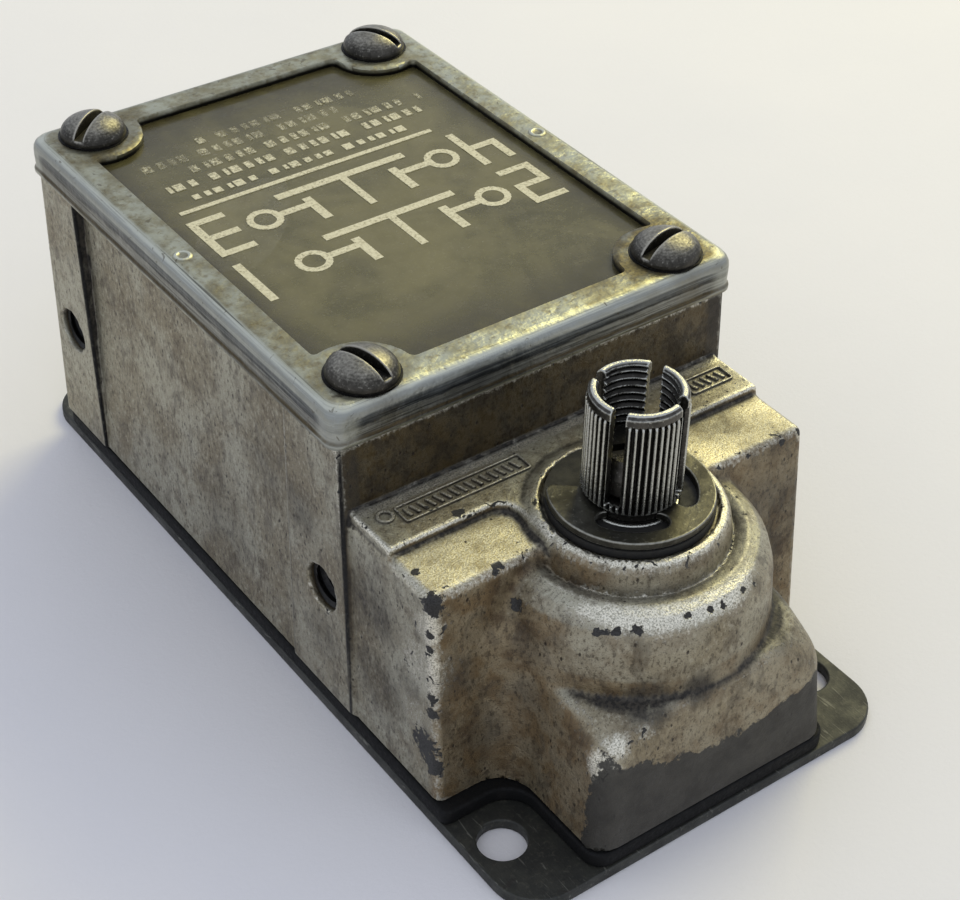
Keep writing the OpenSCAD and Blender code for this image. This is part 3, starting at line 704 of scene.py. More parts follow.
# ---- housing
BOSS = [(-5, 3), (18.4, 3), (18.0, 24), (17.65, 28.9), (17.0, 31.1), (15.9, 32.5), (14.6, 33.1),
        (13.6, 32.95), (12.9, 32.4), (12.25, 32.6), (11.85, 36.1), (11.5, 36.75), (11.1, 36.9),
        (-5, 36.9)]
BOX_TOP, SHELF_TOP, LOW_SHELF, NOSE_TOP = 46.4, 36.85, 35.65, 22.3
PAD_FRONT, HEAD_BACK = -10.8, -15.0


def front_of_box(z):
    return lerp(z, FOOT, BOX_TOP, -25.5, -23.3)


def rear_pad(z):
    """Where the rear pads start: they lean back a little."""
    return lerp(z, FOOT, BOX_TOP, 42.3, 44.3)


def outside(x, y, z):
    ax = abs(x)
    # rear box with drafted walls, and the upright pads round the side holes
    front, back = front_of_box(z), lerp(z, FOOT, BOX_TOP, BOX_BACK, BOX_BACK - 0.8)
    yc, hy = (front + back) / 2, (back - front) / 2
    d = rect2(x, y - yc, lerp(z, FOOT, BOX_TOP, 29.6, 27.9), hy, 0.7)
    pads = smax_round(rect2(x, y - yc, PAD_X, hy, 0.7),
                      minimum(y - PAD_FRONT, rear_pad(z) - y), 0.3)
    d = smax_round(minimum(d, pads), z - BOX_TOP, 0.5)
    d = minimum(d, maximum(rect2(x, y - COVER_Y, 28.6, COVER_L - 1.8, 3.0), z - RIM))
    # head block with its lower shelf, and the upper shelf behind the ridge
    head_front = lerp(z, FOOT, 34.6, -43.8, -41.2)
    head = rect2(x, y - (HEAD_BACK + head_front) / 2, lerp(z, FOOT, LOW_SHELF, 29.55, 29.15),
                 (HEAD_BACK - head_front) / 2, 1.1)
    shelf = smin_round(-(y + 32.3), ax - 11.8, 2.6)
    upper = smax_round(maximum(head + 0.25, shelf), z - SHELF_TOP, 0.5)
    d = smin_round(d, smax_round(head, z - LOW_SHELF, 1.3), 0.25)
    d = smin_round(d, upper, 0.4)
    # round shoulder with its collar, and the nose below it
    rho = np.hypot(x, y - SHAFT_Y)
    boss = poly2(rho, z, BOSS) - 0.5
    nose = rect2(x, y + 45, lerp(z, FOOT, NOSE_TOP, 18.9, 17.2),
                 -45 - lerp(z, FOOT, NOSE_TOP, NOSE_FRONT, NOSE_FRONT + 1.4), 3.2)
    nose = smax_round(nose, z - NOSE_TOP, 1.6)
    nose = smax_round(nose, (rho - 20.0 - 1.15 * (NOSE_TOP - z)) * 0.65, 1.6)
    d = smin_round(d, smin_round(boss, nose, 0.6), 4.8 - 3.6 * ramp(z, 25.5, 31.5))
    return maximum(d, FOOT - z), rho


def marks(x, y, z):
    """Raised marks on the upper shelf: a ring, and bars of plain ticks with a raised border."""
    d = abs(np.hypot(x + 25.9, y + 27.1) - 0.95) - 0.24
    for lo, hi in ((-24.2, -5.8), (20.6, 27.2)):
        bar = rect2(x - (lo + hi) / 2, y + 27.9, (hi - lo) / 2, 1.45, 0.3)
        d = minimum(d, abs(bar) - 0.15)
        inner = maximum(abs(y + 27.9) - 0.8, abs(x - (lo + hi) / 2) - (hi - lo) / 2 + 0.7)
        tick = abs(np.mod(x + 0.3 * y - lo, 1.15) - 0.575) - 0.24
        d = minimum(d, maximum(inner, tick))
    return smax_round(d, slab(z, 36.4, 37.2), 0.1)


def housing(x, y, z):
    d, rho = outside(x, y, z)
    ax = abs(x)
    # the ring's seat, the bushing's bore, then the rooms above and the channels below
    d = cut(d, maximum(rho - 10.9, 36.7 - z), 0.25)
    d = cut(d, maximum(rho - 8.0, 15 - z))
    for lo, hi in (((-25.6, -12.5, 0), (25.6, 44, 60)), ((-16.4, -18.6, 12), (16.4, -10, 60)),
                   ((-16.4, 40, 14), (16.4, 46, 60))):
        d = cut(d, box3(x, y, z, lo, hi, 1.0))
    for half, top, y0, y1 in ((9.06, 7.46, -30, -10), (15.6, 4.88, -24.1, -14.9),
                              (13, 13, -54.4, -25.4), (5, 10, -57.5, -50)):
        d = cut(d, maximum(maximum(ax - half, z - top), slab(y, y0, y1)))
    d = cut(d, maximum(rho - 14.2, z - 16))
    for yc in SIDE_YS:
        d = cut(d, maximum(np.hypot(y - yc, z - SIDE_Z) - 3.3, 18 - ax), 0.2)
    return cut(d, maximum(np.hypot(x, z - ENTRY_Z) - 11.0, 40 - y), 0.5)


# dark chips where the finish has come off: place and reach
CHIPS = [(-28.5, -41, 34.6, 2.0), (-29.2, -41, 30.2, 0.9), (-29.2, -41.2, 28, 0.9),
         (-29.3, -41.6, 20.5, 1.0), (-29.3, -41.9, 18, 1.2), (-29.5, -40.6, 11.8, 3.0),
         (-29.4, -42.2, 9.5, 2.2), (-27.6, -36, 35.6, 0.8), (-19.5, -40.9, 35.2, 0.65),
         (-18.2, -31.2, 36.9, 1.1), (-17.8, -42.8, 30.4, 1.1),
         (-13.5, -52.5, 31.3, 0.75), (-12.6, -53.3, 31.4, 0.6), (-11.7, -54.1, 31.6, 0.7),
         (-9.7, -55.4, 31.8, 0.9), (-3.9, -57.3, 32.5, 0.6), (-1, -58, 32.4, 0.65),
         (1, -58.1, 32.1, 0.75), (4.6, -57.6, 32.2, 0.7), (6.8, -57.2, 31.8, 0.5),
         (25.4, -41.2, 34.6, 0.7), (19.9, -41.2, 34.9, 0.6), (28.6, -41, 35, 0.8),
         (-13.9, -60.5, 20.9, 1.1), (-17.3, -58.3, 20.6, 0.6), (-17, -60.3, 19.4, 0.8)]
# where the finish is rubbed to bare metal, with a painted highlight on the rounded corners: place,
# reach and strength
RUBBED = [(-29.4, -39.5, 24, 7.0, 0.25), (-29.4, -40.5, 31, 4.0, 0.3), (-29.4, -38, 16, 5.0, 0.2),
          (-15.6, -60.4, 20.4, 3.2, 0.5), (-11.5, -61.2, 20.6, 2.2, 0.3),
          (-17.4, -59.4, 16.5, 3.4, 0.35)]
# where soot has settled, with painted shade in the hollows and under the shoulder: place, reach and
# strength
SOOT = [(-29.4, -29, 26, 8.0, 0.55), (-29.4, -31, 14, 8.0, 0.5), (-29.4, -37, 19, 4.0, 0.35),
        (-31, -14, 31, 6.0, 0.45), (-31, -19, 13, 6.0, 0.35), (-26, -43.2, 22, 4.5, 0.5),
        (-22.5, -43.3, 12, 5.0, 0.4), (-16, -45.5, 18, 5.0, 0.45), (-18.8, -46, 26, 3.5, 0.4),
        (-29.6, 8, 14, 10.0, 0.3), (-29.6, -4, 30, 8.0, 0.25), (16.5, -52, 22, 4.5, 0.75),
        (24, -43.5, 24, 12.0, 0.5), (24, -40, 35.6, 7.0, 0.3), (20, -34, 35.6, 7.0, 0.45),
        (19, -47, 26, 5.0, 0.5),
        (11, -57.5, 22, 4.0, 0.6), (-10, -58.6, 22.4, 4.5, 0.85), (-3, -59.4, 22.4, 3.5, 0.8)]


def spread(p, spots, core):
    """The strongest of the spots at each point: full within core of its reach, then fading."""
    out = np.zeros(len(p))
    for *at, reach, strength in spots:
        d = np.linalg.norm(p - at, axis=1)
        out = maximum(out, strength * (1 - ramp(d, core * reach, reach)))
    return out


def build_housing():
    xs = spaced((-30.4, 0.33), (-27.4, 0.57), (27.4, 0.33), (30.4, None))
    ys = spaced((-62.8, 0.5), (-40, 0.56), (-22.8, 0.75), (-14.6, 1.2), (-12.2, 0.4), (-9.8, 1.3),
                (41.6, 0.4), (45.2, 1.2), (53.6, 0.4), (56.0, None))
    zs = spaced((3.0, 0.66), (28, 0.45), (38.5, 0.95), (45.6, 0.45), (48.6, None))
    p, quads, n = surface(housing, xs, ys, zs)
    bend = bend_of(housing, p, n, 0.9)
    broad = bend_of(housing, p, n, 2.6)
    x, y, z = p.T
    # painted shade with dirt: in the hollows, on the wall under the cover and on the surfaces inside
    wall = ramp(z, 36.9, 37.6) * ramp(-y, 22, 23) * ramp(-n[:, 1], 0.3, 0.8)
    inner = (outside(x, y, z)[0] < -0.6)
    dirt = np.clip(-broad * 1.7 - 0.06, 0, 0.85) + 0.95 * wall + 0.9 * inner
    rho = np.hypot(x, y - SHAFT_Y)
    dirt *= 1 - 0.75 * (rho < 12.8) * (z > 32.8)
    # the dark line down the corner of each pad: 10 on the line, less away from it
    line_y = np.where(y < 10, -24.9 + 0.033 * (z - FOOT), rear_pad(z))
    seam = 10 - np.hypot(abs(x) - PAD_X + 0.15, y - line_y - 0.15)
    # soot and painted shade: on the steps beside the pads, in the hollows of the nose, on the nose's
    # top under the shoulder, under the shelf's edge, in the painted shadow line under the cover and
    # in the valley round the collar
    step = ramp(abs(x), 26.8, 27.6) * ramp(-abs(y - line_y), -0.9, -0.5)
    step *= ramp(-n[:, 1], 0.2, 0.6) * ramp(z, 4, 26)
    dirt += 0.9 * step * (y < 0)
    soot = np.max([
        0.55 * step, step * (y > 0), 0.5 * bell(y, -11.1, 0.3) * (abs(x) > 29.7),
        ramp(n[:, 2], 0.15, 0.55) * (z < 25) * ramp(-y, 50, 53) * ramp(-broad, -0.12, 0.04),
        0.9 * ramp(-bend, 0.02, 0.12) * (z > 34.8) * (z < 37.2) * (y > -45),
        0.9 * ramp(z, 46.1, 46.4) * (z < RIM),
        bell(rho, 13.5, 1) * (z > 31) * (z < 34.5) * (y < -30) * (0.3 + 0.5 * ramp(x, 5, 11)),
        spread(p, SOOT, 0.2)], axis=0)
    # grime and painted shade: heavy on the head's front and in the hollows, lighter on the shoulder
    # and the nose
    front = 0.95 * ramp(-y, 41.0, 43.0) * ramp(-n[:, 2], -0.75, -0.35)
    front = maximum(front, ramp(-n[:, 1], 0.3, 0.8) * (y < -30))
    front *= 1 - 0.6 * (rho < 19.2) * (z > 24.5) * ramp(-y, 46, 52)
    front *= 1 - 0.4 * ramp(-y, 57, 60)
    # painted highlight along the shoulder, at the foot and the rim of the collar, and along the
    # shelf's back edge, which is also rubbed
    sheen = (bell(rho, 16.1, 1) + 0.45 * bell(rho, 15.9, 1.8)) * ramp(z, 29, 31.5)
    sheen *= ramp(-y, 40, 50) * ramp(x, -18, -9) * (1 - 0.8 * ramp(x, -1, 11))
    sheen = np.max([
        sheen, bell(rho, 13, 0.35) * (z > 31.5) * (z < 34) * ramp(-y, 44, 50),
        bell(rho, 11.7, 0.4) * (z > 36.3) * ramp(-y, 42, 50),
        0.85 * ramp(-abs(y + 24.7), -1.5, -0.3) * (n[:, 2] > 0.5) * (z > 36)], axis=0)
    band = 10 + minimum(12.6 + 4.2 * (x / 17) ** 2 - 0.09 * x - z, -58.8 - y)
    chip = np.max([1 - np.linalg.norm(p - at, axis=1) / (1.6 * r) for *at, r in CHIPS], axis=0)
    # edge wear, with painted highlights on the edges and at the listed rubbed spots
    wear = unit(bend * np.where(z > 33.5, 1.7, 1.1) + spread(p, RUBBED, 0.3))
    up = ramp(n[:, 2], 0.9, 0.99) * ramp(z, 34.6, 35.2) * (1 - 0.85 * (z > 36.3))
    mesh = mesh_from("housing_shell", p, quads, n, wear=wear * (1 - inner), up=up, band=band,
                     dirt=unit(dirt), chip=unit(chip), seam=seam, front=front,
                     sheen=sheen, soot=unit(soot))
    link("housing_shell", mesh, CASTING, "casting", "housing")

    p, quads, n = surface(marks, spaced((-27.4, 0.11), (-5.4, 1.0), (20.2, 0.11), (27.6, None)),
                          spaced((-29.7, 0.11), (-25.8, None)), spaced((36.2, 0.14), (37.5, None)),
                          soft=0.04)
    # the marks: a painted highlight on their tops, painted shade on their sides
    high_up = ramp(n[:, 2], 0.3, 0.9)
    mesh = mesh_from("shelf_marks", p, quads, n, wear=0.34 * high_up, soot=0.7 * (1 - high_up))
    link("shelf_marks", mesh, CASTING, "casting")


build_housing()


# ---- base plate and gasket
def build_base():
    plate = [rounded(0, 0, PLATE_X, PLATE_L, 6.5, 12)]
    plate += [ring_of(x, EAR_Y, EAR_HOLE_R) for x in (-EAR_X, EAR_X)]
    screws = [(x, COVER_Y + y) for x, y in SCREWS] + [(-12.6, -58.0), (12.6, -58.0)]
    plate += [ring_of(x, y, 2.86, 32) for x, y in screws]
    mesh = flat_part("plate_sheet", plate, 0.0, PLATE_T, 0.25)
    link("plate_sheet", mesh, PLATE, "plate_steel", "base_plate")

    # the gasket's outline: its left half from the back to the front, then the mirror of it
    half = arc(-27.7, 53.2, 2.2, 90, 180, 8) + arc(-28.7, -44.5, 1.2, 180, 270, 6)
    half += arc(-23.4, -49.9, 4.2, 90, 0, 10) + arc(-16.6, -59.5, 2.6, 180, 270, 8)
    outline = half + [(-x, y) for x, y in reversed(half)]
    hole = [(12, -56), (12, -26), (24, -12), (24, 45)]
    hole += [(-x, y) for x, y in reversed(hole)]
    mesh = flat_part("gasket_sheet", [outline, hole], PLATE_T, FOOT, 0.35)
    link("gasket_sheet", mesh, RUBBER, "gasket_rubber", "base_gasket")


build_base()


# ---- cover
EAR_R, COVER_T = 6.8, 1.2


def opening(x, y):
    d = rect2(x, y, 26.2, 34.4, 1.2)
    for sx, sy in SCREWS:
        d = smax_round(d, EAR_R - np.hypot(x - sx, y - sy), 0.9)
    return d


def outline_point(f, a, hi):
    """Distance from the middle to where f turns positive, in each direction a."""
    lo, hi = np.zeros(len(a)), np.full(len(a), float(hi))
    ca, sa = np.cos(a), np.sin(a)
    for _ in range(40):
        t = (lo + hi) / 2
        inside = f(t * ca, t * sa) < 0
        lo, hi = np.where(inside, t, lo), np.where(inside, hi, t)
    return np.stack([hi * ca, hi * sa], 1)


def build_cover():
    # profile: how far inside the lip, the height, and the corner radius there
    prof = [(1.3, 0, 1.2), (1.1, -0.02, 1.3), (0.2, 0, 1.8), (0.02, 0.2, 2.0), (0, 0.6, 2.0),
            (0.05, 0.8, 2.0), (0.16, 0.95, 2.0), (0.2, 1.3, 2.0), (0.16, 2.6, 2.0),
            (0.16, 3.6, 2.0), (0.22, 4.2, 2.0), (0.4, 4.75, 2.1), (0.72, 5.15, 2.2),
            (1.15, 5.4, 2.4), (1.6, 5.49, 2.6), (2.1, 5.5, 2.8)]
    # directions from the middle, closer together at the corners
    corner = atan2(COVER_L - 3, COVER_X - 3)
    extra = [c + o for c in (corner, pi - corner, pi + corner, -corner)
             for o in np.linspace(-0.09, 0.09, 60)]
    a = np.concatenate([np.linspace(0, 2 * pi, 1200, endpoint=False), extra])
    a = np.unique(np.round(np.mod(a, 2 * pi), 6))
    rows, across = [], []

    def add_row(xy, z, at):
        rows.append(np.column_stack([xy, np.full(len(a), z)]))
        across.append(at)

    for inset, up, r in prof:
        rim = outline_point(lambda x, y: rect2(x, y, COVER_X - inset, COVER_L - inset, r), a, 80)
        add_row(rim, COVER_LIP + up, up + inset)
    # over the top to the opening's edge, which turns down a little, then back underneath
    edge = outline_point(opening, a, 60)
    for t in (*np.linspace(0.14, 1, 7)[:-1], 0.96, 1):
        add_row(rim * (1 - t) + edge * t, COVER_TOP - 0.22 * (t == 1), 11 if t > 0.95 else 9 + 2 * t)
    add_row(edge, COVER_TOP - COVER_T, 12.5)
    under = outline_point(lambda x, y: rect2(x, y, COVER_X - 2.4, COVER_L - 2.4, 2.5), a, 80)
    add_row(under, COVER_TOP - COVER_T, 16)
    p, n_r = np.concatenate(rows), len(rows)
    quads = lattice(n_r, len(a), n_r)[:, [0, 3, 2, 1]]
    x, y = p[:, 0], p[:, 1]
    long_side = (COVER_X - abs(x)) < (COVER_L - abs(y))
    along = np.where(long_side, y, x + 200)
    row_of = np.repeat(np.arange(n_r), len(a))
    side = ((row_of > 3) & (row_of < 14)).astype(float)
    near = unit(1 - opening(x, y) / 2.2)
    seats = [np.hypot(x - sx, y - sy) for sx, sy in SCREWS]
    # painted shade with dirt: near the opening, round the screws' seats, along the line above the
    # lip and under the lip
    dirt = 0.35 * near + 0.5 * (1 - ramp(np.minimum.reduce(seats), 4.4, 6.2))
    dirt += 0.8 * np.isin(row_of, (5, 6)) + 0.5 * (row_of < 2)
    corner = ramp(abs(x), COVER_X - 6, COVER_X) * ramp(abs(y), COVER_L - 6, COVER_L)
    # wear and painted highlight: on the lip, the upper bend and the corners
    wear = 0.1 * np.isin(row_of, (3, 4)) + 0.35 * np.isin(row_of, (10, 11, 12)) + 0.4 * corner
    # brown darkening about two of the screws and along the left and back edges
    stain = maximum(0.9 * (1 - ramp(seats[2], 6, 17)), 0.8 * (1 - ramp(seats[1], 5, 13)))
    edge = maximum(ramp(-x, 24, 30), ramp(y, COVER_L - 6, COVER_L))
    stain = maximum(stain, 0.5 * edge) * (1 - 0.75 * side)
    p[:, 1] += COVER_Y
    mesh = mesh_from("cover_pressing", p, quads, along=along, across=np.array(across)[row_of],
                     side=side, dirt=unit(dirt), wear=wear, stain=stain)
    mesh.set_sharp_from_angle(angle=radians(50))
    link("cover_pressing", mesh, COVER, "cover_plating", "cover_frame")


build_cover()


def build_dimples():
    """A small punched mark half-way along each long side of the cover."""
    prof = [(0.0, 0.03), (0.45, 0.03), (0.62, 0.06), (0.78, 0.15), (0.9, 0.18), (1.05, 0.15),
            (1.25, 0.05), (1.35, 0.0), (1.35, -0.1), (0.0, -0.1)]
    n = 32
    for side in (-1, 1):
        p = np.array([(r * cos(2 * pi * i / n), r * sin(2 * pi * i / n), up)
                      for r, up in prof for i in range(n)])
        p += (side * 28.3, COVER_Y, COVER_TOP)
        ring = np.repeat([r for r, _ in prof], n)
        quads = lattice(len(prof), n, len(prof) - 1)
        # a painted highlight on the raised ring, painted shade in the hollow and round the foot
        mesh = mesh_from(f"dimple_{side}", p, quads, wear=0.3 * (abs(ring - 0.9) < 0.2),
                         dirt=0.7 * (ring < 0.7) + 0.5 * (ring > 1.2), across=np.full(len(p), 9.0))
        link(f"cover_dimple_{'left' if side < 0 else 'right'}", mesh, COVER,
             "cover_plating")


build_dimples()


# ---- cover screws
DOME = [(-3, -0.6), (4.3, -0.6), (4.54, -0.3)]
DOME += [(4.54 * cos(0.13 * i), 0.4 + 2.54 * sin(0.13 * i)) for i in range(13)] + [(-3, 2.94)]


def screw_field(x, y, z):
    rho = np.hypot(x, y)
    d = poly2(rho, z, DOME)
    d = maximum(d, 0.02 - z)
    slot = maximum(abs(y) - 0.62 - 0.05 * abs(z - 1.1), 1.15 + 0.02 * x - z)
    d = cut(d, slot, 0.14)
    d = minimum(d, maximum(rho - 4.85, abs(z - 0.03) - 0.07))
    return minimum(d, maximum(rho - 2.4, z - 0.5))


def build_screws():
    xs = spaced((-4.8, 0.15), (4.8, None))
    zs = spaced((-18.3, 1.2), (-0.3, 0.1), (0.3, 0.13), (3.2, None))
    p, quads, n = surface(screw_field, xs, xs, zs, soft=0.05)
    # wear and painted highlight on the edges and higher up the dome; painted shade with dirt at the
    # foot and in the hollows
    wear = unit(bend_of(screw_field, p, n, 0.3)) + 0.16 * ramp(p[:, 2], 0.8, 2.6)
    wear *= 1 - ramp(-n[:, 2], -0.2, 0.2)
    dirt = ramp(-p[:, 2], -0.45, -0.12) + ramp(-bend_of(screw_field, p, n, 0.5), 0.02, 0.3)
    mesh = mesh_from("round_head", p, quads, n, wear=unit(wear), dirt=unit(dirt))
    for i, (which, angle) in enumerate(((0, -77), (2, 12), (1, 35), (3, -58))):
        copy = mesh.copy()
        x, y = SCREWS[which]
        place = Matrix.Translation(Vector((x, COVER_Y + y, COVER_TOP)) * MM)
        copy.transform(place @ Matrix.Rotation(radians(angle), 4, "Z"))
        nodes = ("cover_screws",) if i == 0 else ()
        link(f"cover_screw_{i + 1}", copy, SCREW_STEEL, "black_screw", *nodes)


build_screws()


# ---- window and its print
def strip_mesh(name, lines, z0, z1):
    """Printed lines as thin closed strips: each is two ends and a width."""
    pts, quads = [], []
    box = ((0, 3, 2, 1), (4, 5, 6, 7), (0, 1, 5, 4), (1, 2, 6, 5), (2, 3, 7, 6), (3, 0, 4, 7))
    for i, ((ax, ay), (bx, by), wide) in enumerate(lines):
        n = hypot(bx - ax, by - ay)
        ux, uy = (bx - ax) / n * wide / 2, (by - ay) / n * wide / 2
        ring = [(x + k * ux - side * uy, y + k * uy + side * ux) for x, y, k, side in (
            (ax, ay, -1, -1), (bx, by, 1, -1), (bx, by, 1, 1), (ax, ay, -1, 1))]
        pts += [(x, y, z) for z in (z0, z1 + 0.0005 * i) for x, y in ring]
        quads += [tuple(8 * i + k for k in q) for q in box]
    mesh = mesh_from(name, np.array(pts), np.array(quads))
    mesh.shade_flat()
    return mesh


SEGMENTS = {"a": ((0, 2), (1, 2)), "b": ((1, 2), (1, 1)), "c": ((1, 1), (1, 0)),
            "d": ((0, 0), (1, 0)), "e": ((0, 1), (0, 0)), "f": ((0, 2), (0, 1)),
            "g": ((0, 1), (1, 1))}
DIGITS = {1: "bc", 2: "abged", 3: "abgcd", 4: "fgbc"}


def digit(value, x, y, size, wide):
    """A square-cut digit that reads from the back of the switch."""
    return [((x - ax * size, y - ay * size), (x - bx * size, y - by * size), wide)
            for (ax, ay), (bx, by) in (SEGMENTS[k] for k in DIGITS[value])]


def build_window():
    loops = [rounded(0, COVER_Y, 28.6, 37.0, 1.6)]
    loops += [ring_of(x, COVER_Y + y, 2.6, 32) for x, y in SCREWS]
    mesh = flat_part("window_pane", loops, WINDOW_LOW, WINDOW_HIGH, 0.12)
    link("window_pane", mesh, WINDOW, "window_plastic", "window")
    # contact diagram: terminals, fixed bars and the bridge between them
    lines = []
    for y, pair in ((6.6, (1, 2)), (18.6, (3, 4))):
        for s, value in zip((-1, 1), pair):
            lines += digit(value, s * 20.8 + 2.1, y + 4.2, 4.2, 1.2)
            ring = ring_of(s * 14.2, y, 2.0, 24)
            lines += [(a, b, 0.9) for a, b in zip(ring, ring[1:] + ring[:1])]
            lines += [((s * 12.2, y), (s * 7.6, y), 1.2),
                      ((s * 6.9, y - 3.6), (s * 6.9, y + 1.0), 1.3)]
        lines += [((-9.6, y + 3.8), (9.6, y + 3.8), 1.3), ((0, y + 3.2), (0, y - 4.0), 1.1)]
    # rows of plain blocks, five widths in turn
    lines.append(((-22.5, 25.9), (17, 25.9), 0.8))
    for y, lo, hi, tall in ((28.6, -21, 14, 1.2), (32.0, -21, 20, 1.7), (35.2, -17, 22, 1.7),
                            (38.4, -21, 12, 1.7), (41.4, -11, 14, 1.5)):
        x, k = lo, int(y)
        while x < hi:
            wide = (0.8, 1.2, 0.6, 1.4, 1.0)[k % 5]
            half = max(tall - wide, 0.1) / 2
            if k % 7:
                lines.append(((x, y - half), (x, y + half), wide))
            x, k = x + wide + 0.75, k + 1
    mesh = strip_mesh("window_print", lines, WINDOW_HIGH + 0.005, WINDOW_HIGH + 0.035)
    link("window_print", mesh, PRINT, "window_plastic")


build_window()


# ---- shaft and its ring
TEETH = 48
# the shaft's radius below its teeth and where they run out, with the ring's groove between
SHAFT_Z = [15.8, 15.9, RING_LOW - 0.35, RING_LOW - 0.05, RING_LOW - 0.01, RING_HIGH,
           RING_HIGH + 0.9, 60]
SHAFT_R = [5.0, 6.0, 6.0, 5.75, 5.3, 5.3, 6.3, 6.3]


def shaft_field(x, y, z):
    y = y - SHAFT_Y
    rho = np.hypot(x, y)
    a = np.arctan2(y, x)
    u = abs(np.mod(a * TEETH / (2 * pi), 1.0) - 0.5) * 2
    tooth = 6.2 - 0.62 * ramp(u, 0.12, 0.95)
    core = np.interp(z, SHAFT_Z, SHAFT_R)
    r = np.where(z < RING_HIGH, core, minimum(tooth, core))
    lip = lerp(z, 52.35, 52.75, 0, 1)
    r = r * (1 - lip) + 5.98 * lip
    r = np.where(z > SHAFT_TOP - 0.55, 5.98 - 0.8 * (z - SHAFT_TOP + 0.55), r)
    d = maximum(rho - r, maximum(7.9 - z, z - SHAFT_TOP))
    turn = np.mod(z / 1.06 - a / (2 * pi), 1.0)
    groove = 0.42 * (1 - abs(turn * 2 - 1)) * lerp(z, 43.2, 44, 0, 1) * lerp(z, 53.5, 53.9, 1, 0)
    bore = 4.55 + groove + 0.95 * unit(z - SHAFT_TOP + 0.6)
    d = cut(d, maximum(rho - bore, 41.0 - z), 0.0)
    for k in range(2):
        b = radians(27 + 90 * k)
        side = abs(-x * sin(b) + y * cos(b))
        slot = maximum(side - 0.9, maximum(2.0 - rho, 40.7 - z))
        d = cut(d, slot, 0.08)
    return d


def build_shaft():
    xs = spaced((-6.5, 0.155), (6.5, None))
    ys = xs + SHAFT_Y
    zs = spaced((7.5, 1.3), (37.4, 0.12), (40.4, 0.24), (43, 0.17), (SHAFT_TOP + 0.4, None))
    p, quads, n = surface(shaft_field, xs, ys, zs, soft=0.05)
    bend = bend_of(shaft_field, p, n, 0.28)
    rho = np.hypot(p[:, 0], p[:, 1] - SHAFT_Y)
    # wear and painted highlight: on the edges, the teeth's tops, the top end and a line under the
    # ring's groove
    wear = unit(bend * 1.1) + 0.3 * ramp(rho, 5.95, 6.2) * ramp(p[:, 2], 40, 41)
    wear += 0.35 * ramp(p[:, 2], SHAFT_TOP - 0.3, SHAFT_TOP)
    wear += 0.7 * ramp(rho, 5.6, 5.75) * ramp(p[:, 2], 37.6, 37.8) * (p[:, 2] < RING_LOW)
    # painted shade with dirt: in the hollows and down the bore
    dirt = np.clip(-bend * 2.2, 0, 0.9) + 0.6 * (rho < 5.2) * ramp(-bend, -0.25, 0)
    mesh = mesh_from("lever_shaft", p, quads, n, wear=unit(wear), dirt=unit(dirt))
    link("lever_shaft", mesh, SHAFT_STEEL, "shaft_steel", "shaft", body="shaft_group")


build_shaft()


def turned(x, y, degrees):
    """Along and across a line from the shaft's axis in that direction."""
    a = radians(degrees)
    return x * cos(a) + y * sin(a), y * cos(a) - x * sin(a)


def ring_field(x, y, z):
    y = y - SHAFT_Y
    rho = np.hypot(x, y)
    d = maximum(rho - 10.3, 5.33 - rho)
    u, v = turned(x, y, 104)
    d = cut(d, (abs(v) - 0.757 * u) * 0.8, 1.1)
    # two hollows with round ends, about an arc
    r, half = 6.7, 0.46
    for degrees in (-127, -25):
        u, v = turned(x, y, degrees)
        end = np.hypot(u - r * cos(half), abs(v) - r * sin(half))
        hollow = np.where(abs(np.arctan2(v, u)) < half, abs(rho - r), end) - 1.42
        d = cut(d, hollow, 0.12)
    return smax_round(d, slab(z, RING_LOW, RING_HIGH), 0.18)


def build_ring():
    xs = spaced((-10.8, 0.2), (10.8, None))
    zs = spaced((RING_LOW - 0.3, 0.115), (RING_HIGH + 0.3, None))
    p, quads, n = surface(ring_field, xs, xs + SHAFT_Y, zs, soft=0.05)
    # wear and painted highlight on the edges; painted shade on the faces that look down
    wear = unit(bend_of(ring_field, p, n, 0.25))
    mesh = mesh_from("retaining_clip", p, quads, n, wear=wear, dirt=0.4 * (n[:, 2] < -0.5))
    link("retaining_clip", mesh, RING_STEEL, "ring_steel", "retaining_ring", body="shaft_group")


build_ring()


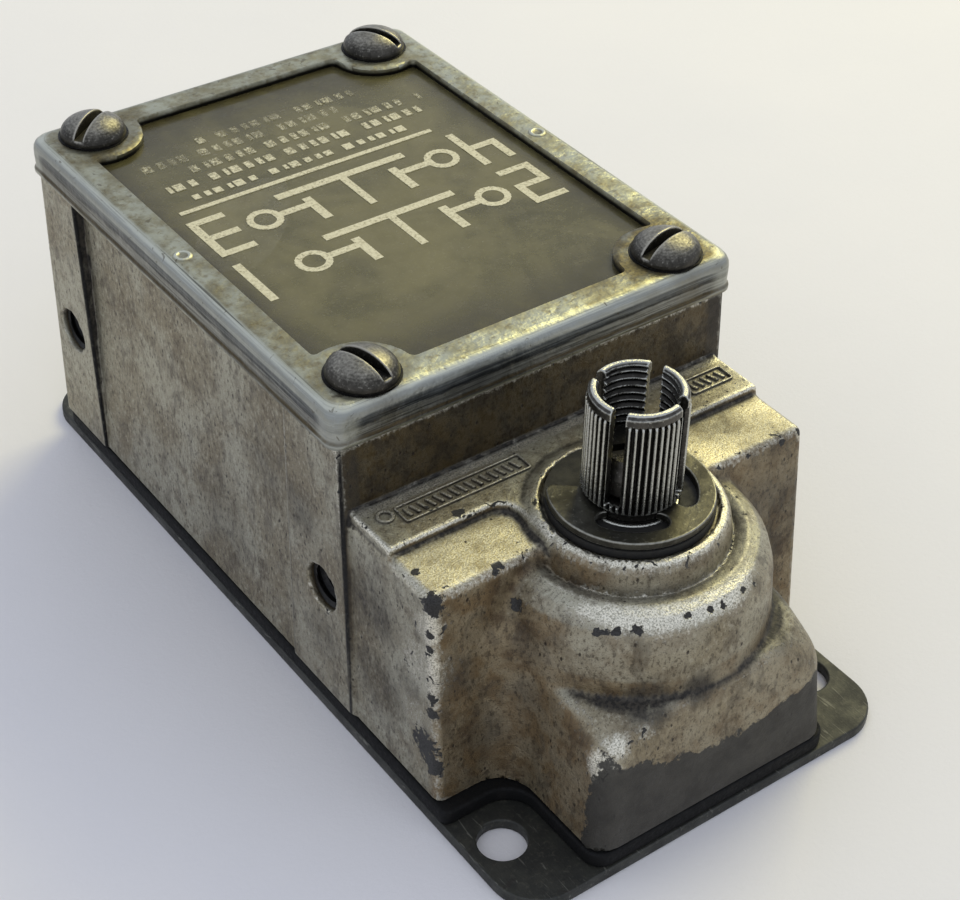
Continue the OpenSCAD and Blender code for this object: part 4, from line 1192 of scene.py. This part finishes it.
# ---- threads in the holes
def thread(name, centre, towards, r, pitch, depth, length, outer, look):
    """A threaded sleeve in a hole: a flat mouth from radius outer, then the thread inwards."""
    m = Vector(towards).to_track_quat("Z", "Y").to_matrix().to_4x4()
    m.translation = Vector(centre) * MM
    turns, around = int(length / pitch), 48
    prof = [(0.0, depth), (0.12, depth), (0.5, 0.0), (0.62, 0.0)]
    rows = [(k + t, h) for k in range(-1, turns) for t, h in prof] + [(turns, depth)]
    t, h = np.array(rows).T[:, :, None]
    share = np.arange(around + 1) / around
    deep = (t + share) * pitch
    rr = np.vstack([np.full(around + 1, outer), r + np.where(deep > 0, h, depth)])
    z = np.vstack([0 * share, -np.clip(deep, 0, length)])
    pts = np.stack([rr * np.cos(2 * pi * share), rr * np.sin(2 * pi * share), z], -1)
    quads = lattice(len(z), around + 1, len(rows))
    quads = quads[quads[:, 0] % (around + 1) < around]
    mesh = mesh_from(name, pts.reshape(-1, 3), quads)
    mesh.transform(m)
    mesh.set_sharp_from_angle(angle=radians(40))
    link(name, mesh, look, "casting")


for side in (-1, 1):
    for i, yc in enumerate(SIDE_YS):
        thread(f"side_thread_{'left' if side < 0 else 'right'}_{i + 1}",
               (side * (PAD_X - 0.9), yc, SIDE_Z), (side, 0, 0), 2.7, 1.41, 0.45, 11.0, 3.7, HOLE)
thread("entry_thread", (0, BOX_BACK - 1.1, ENTRY_Z), (0, 1, 0), 10.4, 1.81, 0.65, 7.4, 11.2,
       CASTING)


# ---- floor and light
def build_floor():
    mesh = bpy.data.meshes.new("floor")
    corners = [(-2.5, -2.5, 0), (2.5, -2.5, 0), (2.5, 2.5, 0), (-2.5, 2.5, 0)]
    mesh.from_pydata(corners, [], [(0, 1, 2, 3)])
    mesh.materials.append(paper_look())
    put_in(bpy.data.objects.new("floor", mesh))


def build_key():
    """One warm square lamp, behind the switch and to its right."""
    data = bpy.data.lights.new("key", "AREA")
    data.shape, data.size, data.size_y = "RECTANGLE", 0.53, 0.53
    data.energy, data.color = 4.45, (1.0, 0.9, 0.36)
    lamp = put_in(bpy.data.objects.new("key", data))
    v = direction(radians(112), radians(40))
    lamp.location = v  # a metre away
    lamp.rotation_euler = v.to_track_quat("Z", "Y").to_euler()


def build_world():
    world = bpy.data.worlds.new("studio")
    bpy.context.scene.world = world
    world.use_nodes = True
    bg = world.node_tree.nodes["Background"]
    bg.inputs["Color"].default_value = (0.73, 0.785, 0.90, 1)
    bg.inputs["Strength"].default_value = 1.0
    bpy.context.scene.view_settings.view_transform = "Standard"


build_floor()
build_key()
build_world()
